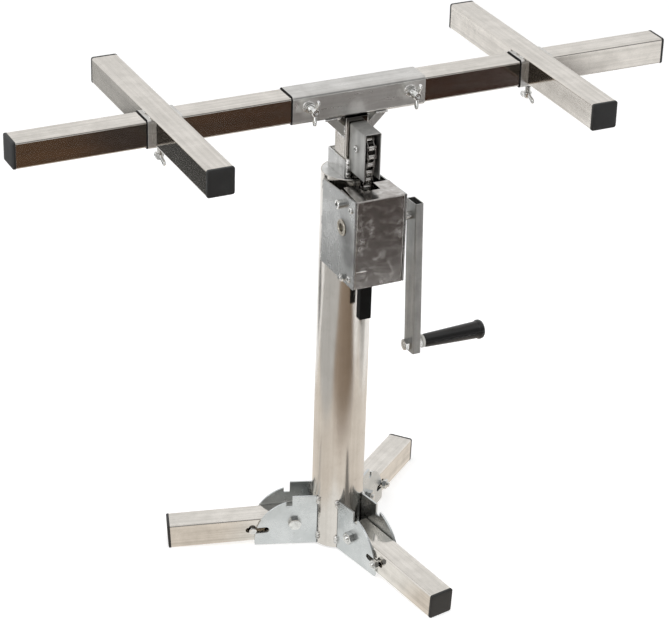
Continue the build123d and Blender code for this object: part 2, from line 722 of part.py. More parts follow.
def chain_shoe():
    """Bent strip between the plates that holds the chain to the drive and rolls into a lip below it."""
    drive, lip = drive_wheel(), lip_wheel()
    touch, _ = tangent_run(drive, lip)
    leave = degrees(atan2(touch[1] - SHAFT_Z, touch[0] - SHAFT_Y))
    near = LINK_HEIGHT / 2 + SHOE_GAP
    sides = []
    for depth in (near, near + SHOE_T):
        back = DRIVE_R + depth
        curl = LIP_RIDE - depth
        first = CenterArc((SHAFT_Y, SHAFT_Z), back, SHOE_START, leave - SHOE_START)
        last = CenterArc((LIP_Y, LIP_Z), curl, 180 + leave, -leave)
        sides.append([first, Line(first @ 1, last @ 0), last])
    inner, outer = sides
    ends = [Line(inner[0] @ 0, outer[0] @ 0), Line(inner[2] @ 1, outer[2] @ 1)]
    return extrude(across(-PLATE_IN, 0, 0) * make_face(inner + outer + ends), amount=2 * PLATE_IN)


def chain_box():
    """Folded channel over the winch, with its top idler, open in front and behind."""
    depth = GUIDE_FRONT - BOX_FRONT
    height = BOX_TOP - BOX_FOOT
    corner = (Align.CENTER, Align.MIN, Align.MIN)
    outer = Pos(0, BOX_FRONT, BOX_FOOT) * Box(2 * BOX_HALF, depth, height, align=corner)
    folds = outer.edges().filter_by(Axis.Y).group_by(Axis.Z)[-1]
    inner = Box(2 * (BOX_HALF - BOX_WALL), depth, height - BOX_WALL, align=corner)
    box = fillet(folds, BOX_BEND) - Pos(0, BOX_FRONT, BOX_FOOT) * inner
    return box - winch_hole(IDLER_Y, IDLER_Z, IDLER_BORE_R + WELD_FIT)


def idler_axle():
    """Bolt and nut that carry the top idler in the chain box."""
    length = 2 * BOX_HALF + AXLE_NUT[1] + BOLT_TAIL
    bolt = round_bolt(across(-BOX_HALF, IDLER_Y, IDLER_Z), IDLER_BORE_R, length, AXLE_HEAD)
    nut = hex_nut(across(BOX_HALF, IDLER_Y, IDLER_Z), IDLER_BORE_R + WELD_FIT, AXLE_NUT)
    return group([bolt, nut])


# Roller chain: its route in the plane x = 0, as straight runs and arcs of (y, z) points


def tangent_run(first, second):
    """Ends of the straight run between two wheels, each a (y, z, radius, side of travel)."""
    y1, z1, r1, side1 = first
    y2, z2, r2, side2 = second
    span = hypot(y2 - y1, z2 - z1)
    heading = atan2(z2 - z1, y2 - y1) - asin((side2 * r2 - side1 * r1) / span)
    normal = (-sin(heading), cos(heading))
    start = (y1 - side1 * r1 * normal[0], z1 - side1 * r1 * normal[1])
    end = (y2 - side2 * r2 * normal[0], z2 - side2 * r2 * normal[1])
    return start, end


def straight(start, end):
    """Run of the route as its length and a function of the distance along it."""
    length = hypot(end[0] - start[0], end[1] - start[1])

    def point(distance):
        share = distance / length
        return (start[0] + share * (end[0] - start[0]), start[1] + share * (end[1] - start[1]))

    return length, point


def wrap(wheel, start, end):
    """Arc of the route round a wheel, from one point on it to another."""
    y, z, radius, side = wheel
    begin = atan2(start[1] - z, start[0] - y)
    sweep = side * (atan2(end[1] - z, end[0] - y) - begin) % (2 * pi)

    def point(distance):
        angle = begin + side * distance / radius
        return (y + radius * cos(angle), z + radius * sin(angle))

    return radius * sweep, point


def drive_wheel():
    """Drive sprocket as the route sees it; the chain runs down its back."""
    return (SHAFT_Y, SHAFT_Z, DRIVE_R, -1)


def lip_wheel():
    """Rolled lip of the shoe, which the chain runs over before it hangs free."""
    return (LIP_Y, LIP_Z, LIP_RIDE, 1)


def chain_route():
    """Pieces of the chain's route, from its lug on the lifting tube to its free end."""
    idler = (IDLER_Y, IDLER_Z, IDLER_R, 1)
    drive, lip = drive_wheel(), lip_wheel()
    lug = (CHAIN_BACK_Y, IDLER_Z - CHAIN_LUG_LINKS * PITCH)
    up = (CHAIN_BACK_Y, IDLER_Z)
    down_start, down_end = tangent_run(idler, drive)
    tail_start, tail_end = tangent_run(drive, lip)
    hang = (TAIL_Y, LIP_Z)
    return [
        straight(lug, up),
        wrap(idler, up, down_start),
        straight(down_start, down_end),
        wrap(drive, down_end, tail_start),
        straight(tail_start, tail_end),
        wrap(lip, tail_end, hang),
        straight(hang, (TAIL_Y, CHAIN_TAIL_Z)),
    ]


def on_route(pieces, distance):
    """Point at a distance along the route."""
    for length, point in pieces:
        if distance <= length:
            return point(distance)
        distance -= length
    return pieces[-1][1](pieces[-1][0] + distance)


def chain_pins():
    """Centres of the chain's pins, one pitch apart in a straight line along the route."""
    pieces = chain_route()
    total = sum(length for length, point in pieces)
    pins = [on_route(pieces, 0)]
    distance = 0.0
    while distance + PITCH < total:
        low, high = distance, distance + 1.3 * PITCH
        for _ in range(50):
            middle = (low + high) / 2
            y, z = on_route(pieces, middle)
            if hypot(y - pins[-1][0], z - pins[-1][1]) < PITCH:
                low = middle
            else:
                high = middle
        distance = low
        pins.append(on_route(pieces, distance))
    return pins[: len(pins) - 1 + len(pins) % 2]


def shows(pin):
    """Whether a pin lies on the chain's open stretch in the chain box and above the winch."""
    return pin[1] > PLATE_TOP - 3 * PITCH and pin[0] < CHAIN_BACK_Y - ROLLER_R


def link_outline(pin, other, open_to_view):
    """Outline of a link plate between two pins, rounded where it shows and six-sided elsewhere."""
    angle = degrees(atan2(other[1] - pin[1], other[0] - pin[0]))
    middle = Location(((pin[0] + other[0]) / 2, (pin[1] + other[1]) / 2), angle)
    if open_to_view:
        return middle * SlotCenterToCenter(PITCH, LINK_HEIGHT)
    half = LINK_HEIGHT / 2
    corners = [(PITCH / 2, half), (PITCH / 2 + half, 0), (PITCH / 2, -half)]
    corners += [(-y, -z) for y, z in corners]
    return middle * make_face(Polyline(*corners, close=True))


def link_plate(outline, inner_face, sign):
    """One plate of a link, outwards from its inner face."""
    return extrude(across(sign * inner_face, 0, 0, 1) * outline, amount=sign * LINK_T)


def roller_link(pin, other):
    """Roller link: two plates joined by two rollers."""
    open_to_view = shows(pin)
    outline = link_outline(pin, other, open_to_view)
    link = link_plate(outline, LINK_INNER / 2, 1) + link_plate(outline, LINK_INNER / 2, -1)
    for y, z in (pin, other):
        plane = across(-LINK_INNER / 2, y, z)
        roller = Circle(ROLLER_R) if open_to_view else RegularPolygon(ROLLER_R, 6)
        link += extrude(plane * roller, amount=LINK_INNER)
    return link


def pin_link(pin, other):
    """Plates of a pin link, with their rivet heads, seated on the roller links beside it."""
    open_to_view = shows(pin)
    outline = link_outline(pin, other, open_to_view)
    plates = []
    for sign in (-1, 1):
        plate = link_plate(outline, INNER_PLATE + LINK_GAP, sign)
        if open_to_view:
            for y, z in (pin, other):
                plate += rod(across(sign * OUTER_PLATE, y, z, sign), *RIVET)
        plates.append(plate)
    return plates


def chain_roller_links():
    """Every second link of the chain, with its rollers."""
    pins = chain_pins()
    return group(roller_link(pins[i], pins[i + 1]) for i in range(1, len(pins) - 1, 2))


def chain_pin_links():
    """The links between the roller links; the lowest one holds the lug."""
    pins = chain_pins()
    plates = []
    for i in range(0, len(pins) - 1, 2):
        plates += pin_link(pins[i], pins[i + 1])
    return group(plates)


def chain_lug():
    """Lug on the front of the lifting tube, with the pin that holds the chain's lowest link."""
    pin_y = CHAIN_BACK_Y
    pin_z = IDLER_Z - CHAIN_LUG_LINKS * PITCH
    head = Pos(pin_y, pin_z) * Circle(LUG_HEAD_R)
    back = LIFT_FRONT
    foot = Pos(back, pin_z - LUG_FOOT / 2) * Rectangle(LUG_PIN_R, LUG_FOOT, align=(Align.MAX, Align.CENTER))
    profile = make_hull(head.edges() + foot.edges())
    lug = extrude(across(0, 0, 0) * profile, amount=LUG_HALF, both=True)
    return lug + extrude(across(0, pin_y, pin_z) * Circle(LUG_PIN_R), amount=INNER_PLATE, both=True)


def chain_end_sleeve():
    """Soft sleeve, closed below, over the chain's free end."""
    inner_x = 2 * (CHAIN_HALF + END_SLEEVE_GAP)
    inner_y = LINK_HEIGHT + 2 * END_SLEEVE_GAP
    outer_x = inner_x + 2 * END_SLEEVE_WALL
    outer_y = inner_y + 2 * END_SLEEVE_WALL
    start = Plane((0, TAIL_Y, CHAIN_TAIL_Z - LINK_HEIGHT / 2 - 2 * END_SLEEVE_WALL))
    sleeve = extrude(start * RectangleRounded(outer_x, outer_y, 2 * END_SLEEVE_WALL), amount=END_SLEEVE_LENGTH)
    hollow = extrude(start.offset(END_SLEEVE_WALL) * Rectangle(inner_x, inner_y), amount=END_SLEEVE_LENGTH)
    return sleeve - hollow


# Sprockets, ratchet, pawl and crank


def sprocket_teeth(teeth, radius, phase):
    """Toothed disc outline, with a gap at the phase angle."""
    tip = radius + TOOTH_TIP
    reach = 2 * TOOTH_TIP
    spread = TOOTH_GAP_R + reach * tan(radians(TOOTH_FLANK))
    mouth = Polyline(
        (radius, -TOOTH_GAP_R),
        (radius + reach, -spread),
        (radius + reach, spread),
        (radius, TOOTH_GAP_R),
        close=True,
    )
    gap = Pos(radius, 0) * Circle(TOOTH_GAP_R) + make_face(mouth)
    outline = Circle(tip)
    for i in range(teeth):
        outline -= Rot(0, 0, phase + i * 360 / teeth) * gap
    return outline


def idler_sprocket():
    """Top idler, with hubs that centre it in the chain box."""
    hub_r, hub_half = IDLER_HUB
    middle = across(0, IDLER_Y, IDLER_Z)
    idler = extrude(middle * sprocket_teeth(IDLER_TEETH, IDLER_R, 0), amount=SPROCKET_T / 2, both=True)
    idler += extrude(middle * Circle(hub_r), amount=hub_half, both=True)
    return idler - winch_hole(IDLER_Y, IDLER_Z, IDLER_BORE_R + RUN_GAP)


def drive_phase():
    """Angle at which the chain pin nearest the drive sprocket stands."""
    y, z = min(chain_pins(), key=lambda pin: hypot(pin[0] - SHAFT_Y, pin[1] - SHAFT_Z))
    return degrees(atan2(z - SHAFT_Z, y - SHAFT_Y))


def drive_sprocket():
    """Drive sprocket with a long hub on the crank shaft."""
    middle = across(0, SHAFT_Y, SHAFT_Z)
    outline = sprocket_teeth(DRIVE_TEETH, DRIVE_R, drive_phase())
    sprocket = extrude(middle * outline, amount=SPROCKET_T / 2, both=True)
    sprocket += extrude(middle * Circle(HUB_R), amount=HUB_HALF, both=True)
    return sprocket - winch_hole(SHAFT_Y, SHAFT_Z, SHAFT_R + WELD_FIT)


def polar(radius, angle):
    """Point at a radius and an angle in degrees."""
    return (radius * cos(radians(angle)), radius * sin(radians(angle)))


def ratchet_wheel():
    """Ratchet wheel beside the drive sprocket, with steep faces that stop it from running back."""
    root, tip = RATCHET_R
    points = []
    for i in range(RATCHET_TEETH):
        angle = RATCHET_PHASE + i * 360 / RATCHET_TEETH
        points += [polar(tip, angle), polar(root, angle)]
    face = make_face(Polyline(*points, close=True)) - Circle(SHAFT_R + WELD_FIT)
    return extrude(across(HUB_HALF, SHAFT_Y, SHAFT_Z) * face, amount=RATCHET_T)


def ratchet_pawl():
    """Pawl on the upper screw, lifted clear of the ratchet."""
    hub_centre = (PAWL_Y - SHAFT_Y, PAWL_Z - SHAFT_Z)
    tip, heel, toe = [polar(*corner) for corner in PAWL_NOSE]
    hub = Pos(*hub_centre) * Circle(PAWL_HUB_R)
    profile = make_hull(hub.edges() + [Line(heel, toe).edge()])
    profile += make_face(Polyline(tip, heel, toe, close=True))
    profile -= Pos(*hub_centre) * Circle(PAWL_SCREW_R + RUN_GAP)
    pawl = extrude(across(HUB_HALF, SHAFT_Y, SHAFT_Z) * profile, amount=RATCHET_T)
    return pawl.rotate(Axis((0, PAWL_Y, PAWL_Z), (1, 0, 0)), PAWL_LIFT)


def crank_shaft():
    """Shaft from inside the left bush through to the outside of the crank arm."""
    left = PLATE_OUT - SHAFT_RECESS
    return rod(across(-left, SHAFT_Y, SHAFT_Z), SHAFT_R, left + CRANK_X + CRANK_SECTION[0])


def from_crank(shape):
    """Lean a shape drawn on the upright crank to the crank's rest angle."""
    return shape.rotate(Axis((0, SHAFT_Y, SHAFT_Z), (1, 0, 0)), -CRANK_TILT)


def handle_plane(x, facing=1):
    """Plane on the handle's axis at a station along X, before the crank is leant."""
    return across(x, SHAFT_Y, SHAFT_Z - HANDLE_R, facing)


def crank_arm():
    """Flat rectangular tube, open at both ends, bored for the shaft and the handle bolt."""
    width, depth = CRANK_SECTION
    inside = RectangleRounded(width - 2 * CRANK_WALL, depth - 2 * CRANK_WALL, CRANK_CORNER - CRANK_WALL)
    ring = RectangleRounded(width, depth, CRANK_CORNER) - inside
    start = Plane((CRANK_X + width / 2, SHAFT_Y, SHAFT_Z - CRANK_BELOW))
    arm = extrude(start * ring, amount=CRANK_ABOVE + CRANK_BELOW)
    arm -= rod(across(CRANK_X - width, SHAFT_Y, SHAFT_Z), SHAFT_R + WELD_FIT, 3 * width)
    arm -= rod(handle_plane(CRANK_X - width), HANDLE_BOLT_R + WELD_FIT, 3 * width)
    return from_crank(arm)


def grip_start():
    """Station along X where the grip begins."""
    return CRANK_X + CRANK_SECTION[0] + HANDLE_NUT[1] + HANDLE_WASHER[1] + GRIP_GAP


def handle_bolt():
    """Bolt that carries the grip, with the nut that fixes it to the arm and a washer."""
    outside = CRANK_X + CRANK_SECTION[0]
    washer_r, washer_t = HANDLE_WASHER
    length = grip_start() - CRANK_X + GRIP_LENGTH - GRIP_END
    bolt = hex_bolt(handle_plane(CRANK_X), HANDLE_BOLT_R, length, HANDLE_HEAD)
    nut = hex_nut(handle_plane(outside), HANDLE_BOLT_R + WELD_FIT, HANDLE_NUT)
    ring = Circle(washer_r) - Circle(HANDLE_BOLT_R + WELD_FIT)
    washer = extrude(handle_plane(outside + HANDLE_NUT[1]) * ring, amount=washer_t)
    return group(from_crank(piece) for piece in (bolt, nut, washer))


def crank_grip():
    """Turned grip that swells towards an end flange, hollow for its bolt."""
    outline = make_face(Polyline((0, 0), *GRIP_PROFILE, (GRIP_LENGTH, 0), close=True))
    profile = plane_to((grip_start(), SHAFT_Y, SHAFT_Z - HANDLE_R), (0, -1, 0), (1, 0, 0)) * outline
    axis = Axis((0, SHAFT_Y, SHAFT_Z - HANDLE_R), (1, 0, 0))
    grip = revolve(profile, axis, 360)
    bore = rod(handle_plane(grip_start()), HANDLE_BOLT_R + RUN_GAP, GRIP_LENGTH - GRIP_END + GRIP_GAP)
    return from_crank(grip - bore)


# Every node and the function that makes it


def nodes():
    """Names and solids of all the nodes."""
    yield "mast_tube", mast_tube()
    yield "mast_top_plate", mast_top_plate()
    yield "guide_sleeve", guide_sleeve()
    yield "guide_pad", guide_pad()
    yield "fan_plates", fan_plates()
    yield "leg_pivot_bolts", leg_pivot_bolts()
    yield "gearbox_cover", gearbox_cover()
    yield "cover_screws", cover_screws()
    yield "shaft_bushes", shaft_bushes()
    yield "pawl_screw", pawl_screw()
    yield "chain_guide_bolt", chain_guide_bolt()
    yield "chain_guide_spacer", chain_guide_spacer()
    yield "chain_shoe", chain_shoe()
    yield "chain_box", chain_box()
    yield "idler_axle", idler_axle()
    yield "idler_sprocket", idler_sprocket()
    yield "chain_roller_links", chain_roller_links()
    yield "chain_pin_links", chain_pin_links()
    yield "chain_end_sleeve", chain_end_sleeve()
    yield "chain_lug", chain_lug()
    yield "crank_shaft", crank_shaft()
    yield "drive_sprocket", drive_sprocket()
    yield "ratchet_wheel", ratchet_wheel()
    yield "ratchet_pawl", ratchet_pawl()
    yield "crank_arm", crank_arm()
    yield "handle_bolt", handle_bolt()
    yield "crank_grip", crank_grip()
    yield "inner_tube", inner_tube()
    yield "foot_glide", foot_glide()
    yield "beam_sleeve", beam_sleeve()
    yield "head_gussets", head_gussets()
    yield "beam_lock_nuts", beam_lock_nuts()
    for side, sign in (("left", -1), ("right", 1)):
        yield f"gearbox_plate_{side}", gearbox_plate(sign)
        yield f"beam_tube_{side}", beam_tube(sign)
        yield f"beam_cap_{side}", beam_cap(sign)
        yield f"beam_wing_bolt_{side}", beam_wing_bolt(sign)
        yield f"crossarm_{side}", crossarm(sign)
        yield f"crossarm_collar_{side}", crossarm_collar(sign)
        yield f"crossarm_caps_{side}", crossarm_caps(sign)
        yield f"collar_nut_{side}", collar_nut(sign)
        yield f"collar_wing_bolt_{side}", collar_wing_bolt(sign)
    for number, azimuth in enumerate(LEG_AZIMUTHS, 1):
        yield f"leg_tube_{number}", leg_tube(azimuth)
        yield f"leg_cap_{number}", leg_cap(azimuth)
        yield f"leg_lock_{number}", leg_lock(azimuth)


os.makedirs("parts", exist_ok=True)
for name, solid in nodes():
    export_step(solid, f"parts/{name}.step")
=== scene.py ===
"""Cabinet lift jack: eased edges, chain, fasteners, welds and finishes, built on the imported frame."""

import json
import logging
import math
from dataclasses import dataclass, field, replace
from enum import Enum
from typing import Any, Callable, Iterable, Sequence

import bmesh
import bpy
from mathutils import Matrix, Vector

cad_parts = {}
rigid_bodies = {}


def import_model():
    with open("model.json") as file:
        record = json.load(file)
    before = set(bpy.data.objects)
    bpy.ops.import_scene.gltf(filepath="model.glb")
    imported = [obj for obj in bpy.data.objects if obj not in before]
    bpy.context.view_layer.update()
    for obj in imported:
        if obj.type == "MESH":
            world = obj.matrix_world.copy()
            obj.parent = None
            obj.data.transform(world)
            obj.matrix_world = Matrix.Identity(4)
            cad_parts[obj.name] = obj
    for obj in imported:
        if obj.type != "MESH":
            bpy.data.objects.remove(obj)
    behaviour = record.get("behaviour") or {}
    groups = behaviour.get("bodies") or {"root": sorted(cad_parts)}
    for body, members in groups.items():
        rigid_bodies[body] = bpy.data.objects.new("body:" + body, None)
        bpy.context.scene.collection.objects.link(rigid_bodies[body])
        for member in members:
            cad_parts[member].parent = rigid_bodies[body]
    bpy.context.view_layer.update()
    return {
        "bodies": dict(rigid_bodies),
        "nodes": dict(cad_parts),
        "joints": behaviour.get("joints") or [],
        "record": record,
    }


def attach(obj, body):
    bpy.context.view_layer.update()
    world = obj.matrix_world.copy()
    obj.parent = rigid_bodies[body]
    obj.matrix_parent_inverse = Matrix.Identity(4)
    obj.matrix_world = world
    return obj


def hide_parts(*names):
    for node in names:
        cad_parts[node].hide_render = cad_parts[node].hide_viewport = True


LOG = logging.getLogger("lift_jack")

Colour = tuple[float, float, float]
Point = tuple[float, float, float]
Pair = tuple[float, float]
Path = list[Vector]
Ring = list[Vector]
Reach = float | Callable[[float], float]

# Forms are in millimetres, as on the jack; meshes and materials are in metres
MM = 0.001
SIDES = (("left", -1), ("right", 1))

# Directions, seen from the front
RIGHT = (1.0, 0.0, 0.0)
LEFT = (-1.0, 0.0, 0.0)
BACK = (0.0, 1.0, 0.0)
FRONT = (0.0, -1.0, 0.0)
UP = (0.0, 0.0, 1.0)
DOWN = (0.0, 0.0, -1.0)

# Sizes that several sub-assemblies share
TUBE_HALF = 19.0
SLEEVE_HALF = 21.2
MAST_R = 38.0
BEAM_Z = 712.2
SLEEVE_BOTTOM = BEAM_Z - SLEEVE_HALF
ARM_X = 281.0

# Angles in degrees and a gap in metres that the mesh tools work to
SHARP_TURN = 38.0
ALL_SMOOTH = 180.0
FLAT_TURN = 0.3
BEVEL_TURN = 40.0
MERGE_GAP = 2e-6


# Shader maths and nodes


def operator(operation: str, swap: bool = False) -> Callable[..., "Value"]:
    """Method that stands behind a Python operator.

    Args:
        operation: the operation of the Math node that it adds.
        swap: whether the other operand comes first.

    Returns:
        The method.
    """

    def apply(value: "Value", other: "Value | float" = 0.0) -> "Value":
        """Add the Math node and give its result."""
        first, second = (other, value) if swap else (value, other)
        return value.sheet.node("ShaderNodeMath", {"operation": operation}, {0: first, 1: second})

    return apply


class Value:
    """A node's output socket that takes part in Python arithmetic."""

    __add__ = operator("ADD")
    __radd__ = operator("ADD", swap=True)
    __sub__ = operator("SUBTRACT")
    __rsub__ = operator("SUBTRACT", swap=True)
    __mul__ = operator("MULTIPLY")
    __rmul__ = operator("MULTIPLY", swap=True)
    __abs__ = operator("ABSOLUTE")
    least = operator("MINIMUM")
    most = operator("MAXIMUM")

    def __init__(self, sheet: "Sheet", socket: bpy.types.NodeSocket) -> None:
        """Wrap a socket of a sheet of nodes."""
        self.sheet = sheet
        self.socket = socket

    def step(self, low: float, high: float) -> "Value":
        """Smooth step from 0 at low to 1 at high."""
        inputs = {"Value": self, "From Min": low, "From Max": high}
        return self.sheet.node("ShaderNodeMapRange", {"interpolation_type": "SMOOTHSTEP"}, inputs)


class Sheet:
    """The nodes of one tree."""

    # How far a full bump stands out, in metres
    relief: float = 0.0002

    def __init__(self, tree: bpy.types.NodeTree) -> None:
        """Start from an empty tree."""
        self.tree = tree
        tree.nodes.clear()

    def node(
        self,
        kind: str,
        settings: dict[str, Any] | None = None,
        inputs: dict[str | int, Any] | None = None,
        output: str | int = 0,
    ) -> Value:
        """Add a node.

        Args:
            kind: the node's type.
            settings: properties that are set first.
            inputs: socket names or numbers, with values or links.
            output: the output that is wanted.

        Returns:
            The wrapped output.
        """
        made = self.tree.nodes.new(kind)
        for name, value in (settings or {}).items():
            setattr(made, name, value)
        for name, value in (inputs or {}).items():
            if isinstance(value, Value):
                self.tree.links.new(value.socket, made.inputs[name])
            else:
                made.inputs[name].default_value = value
        return Value(self, made.outputs[output] if made.outputs else None)

    def other(self, value: Value, output: str | int) -> Value:
        """Another output of the node that a value comes from."""
        return Value(self, value.socket.node.outputs[output])

    def mix(self, factor: Value | float, first: Any, second: Any) -> Value:
        """Mix two colours."""
        inputs = {0: factor, 6: opaque(first), 7: opaque(second)}
        return self.node("ShaderNodeMix", {"data_type": "RGBA"}, inputs, 2)

    def tinted(self, colour: Value, mask: Value, tint: "Tint") -> Value:
        """A colour with a tint over it where a mask says so."""
        return self.mix(mask * tint.share, colour, tint.colour)

    def vector(self, operation: str, first: Any, second: Any, third: Any = (0.0, 0.0, 0.0)) -> Value:
        """Vector sum, product or the like of two or three vectors."""
        return self.node("ShaderNodeVectorMath", {"operation": operation}, {0: first, 1: second, 2: third})

    def length(self, vector: Value) -> Value:
        """Length of a vector."""
        return self.node("ShaderNodeVectorMath", {"operation": "LENGTH"}, {0: vector}, "Value")

    def noise(self, place: Value, scale: Point, detail: float = 3.0, rough: float = 0.6) -> Value:
        """Noise stretched along the axes.

        Args:
            place: coordinates in metres.
            scale: cycles per metre along each axis.
            detail: octaves.
            rough: share that each octave keeps.

        Returns:
            The noise, from 0 to 1.
        """
        stretched = self.vector("MULTIPLY", place, scale)
        inputs = {"Vector": stretched, "Scale": 1.0, "Detail": detail, "Roughness": rough}
        return self.node("ShaderNodeTexNoise", {}, inputs)

    def object_place(self) -> Value:
        """Object coordinates, in metres."""
        return self.node("ShaderNodeTexCoord", output="Object")

    def local(self, lie: "Lie") -> Value:
        """Object coordinates seen from a piece's own centre and turn.

        Args:
            lie: how the piece lies.

        Returns:
            The coordinates, in metres.
        """
        inputs = {
            "Vector": self.object_place(),
            "Location": [v * MM for v in lie.centre],
            "Rotation": [math.radians(angle) for angle in lie.turn],
        }
        return self.node("ShaderNodeMapping", {"vector_type": "TEXTURE"}, inputs)

    def parts(self, vector: Value) -> tuple[Value, Value, Value]:
        """The x, y and z of a vector."""
        first = self.node("ShaderNodeSeparateXYZ", {}, {0: vector})
        return first, self.other(first, 1), self.other(first, 2)

    def bump(self, depth: float, height: Value) -> Value:
        """Normal that a height from 0 to 1 bends by a share of the full relief."""
        inputs = {"Strength": depth, "Distance": self.relief, "Height": height}
        return self.node("ShaderNodeBump", {}, inputs)

    def surface(self, shade: Value) -> None:
        """End a material with its shader."""
        self.node("ShaderNodeOutputMaterial", {}, {"Surface": shade})


def opaque(colour: Any) -> Any:
    """A colour with full alpha, or the link that stands for one."""
    return colour if isinstance(colour, Value) else (*colour, 1.0)


def new_material(name: str) -> tuple[bpy.types.Material, Sheet]:
    """Start a material.

    Args:
        name: its name.

    Returns:
        The material and its empty sheet of nodes.
    """
    made = bpy.data.materials.new(name)
    made.use_nodes = True
    return made, Sheet(made.node_tree)


# Finishes


@dataclass(frozen=True)
class Lie:
    """How a piece lies: its centre in millimetres and the turn that brings its length onto local x."""

    centre: Point = (0.0, 0.0, 0.0)
    turn: Point = (0.0, 0.0, 0.0)


class Along(Enum):
    """Named lies for the pieces that run along an axis."""

    X = Lie()
    Y = Lie(turn=(0.0, 0.0, 90.0))
    Z = Lie(turn=(0.0, -90.0, 0.0))


@dataclass(frozen=True)
class Tint:
    """The colour of a mark and the share of it that shows."""

    colour: Colour
    share: float


OILED = Tint((0.10, 0.09, 0.08), 0.75)
# Painted shade in the gap where a plate meets the mast
ROOT_SHADE = Tint((0.02, 0.02, 0.02), 0.85)
# Painted shade on the top of a tube, under the sleeve that sits on it
UNDER_SLEEVE_SHADE = Tint((0.03, 0.028, 0.025), 0.9)
# Painted highlight on the long edges of a tube
EDGE_HIGHLIGHT = Tint((0.93, 0.91, 0.88), 0.12)
# How much a halo shows and roughens: pale halos are heat marks, dark ones painted shade
HALO_SHARE = 0.6
HALO_ROUGH = 0.12
BLOOM_SHARE = 0.7
BLOOM_ROUGH = 0.6
SCRATCH_PALE = (0.86, 0.84, 0.80)
SCRATCH_ROUGH = 0.04
STAIN_FINENESS = 2.7


def even(size: float) -> Point:
    """The same size along all three axes."""
    return (size, size, size)


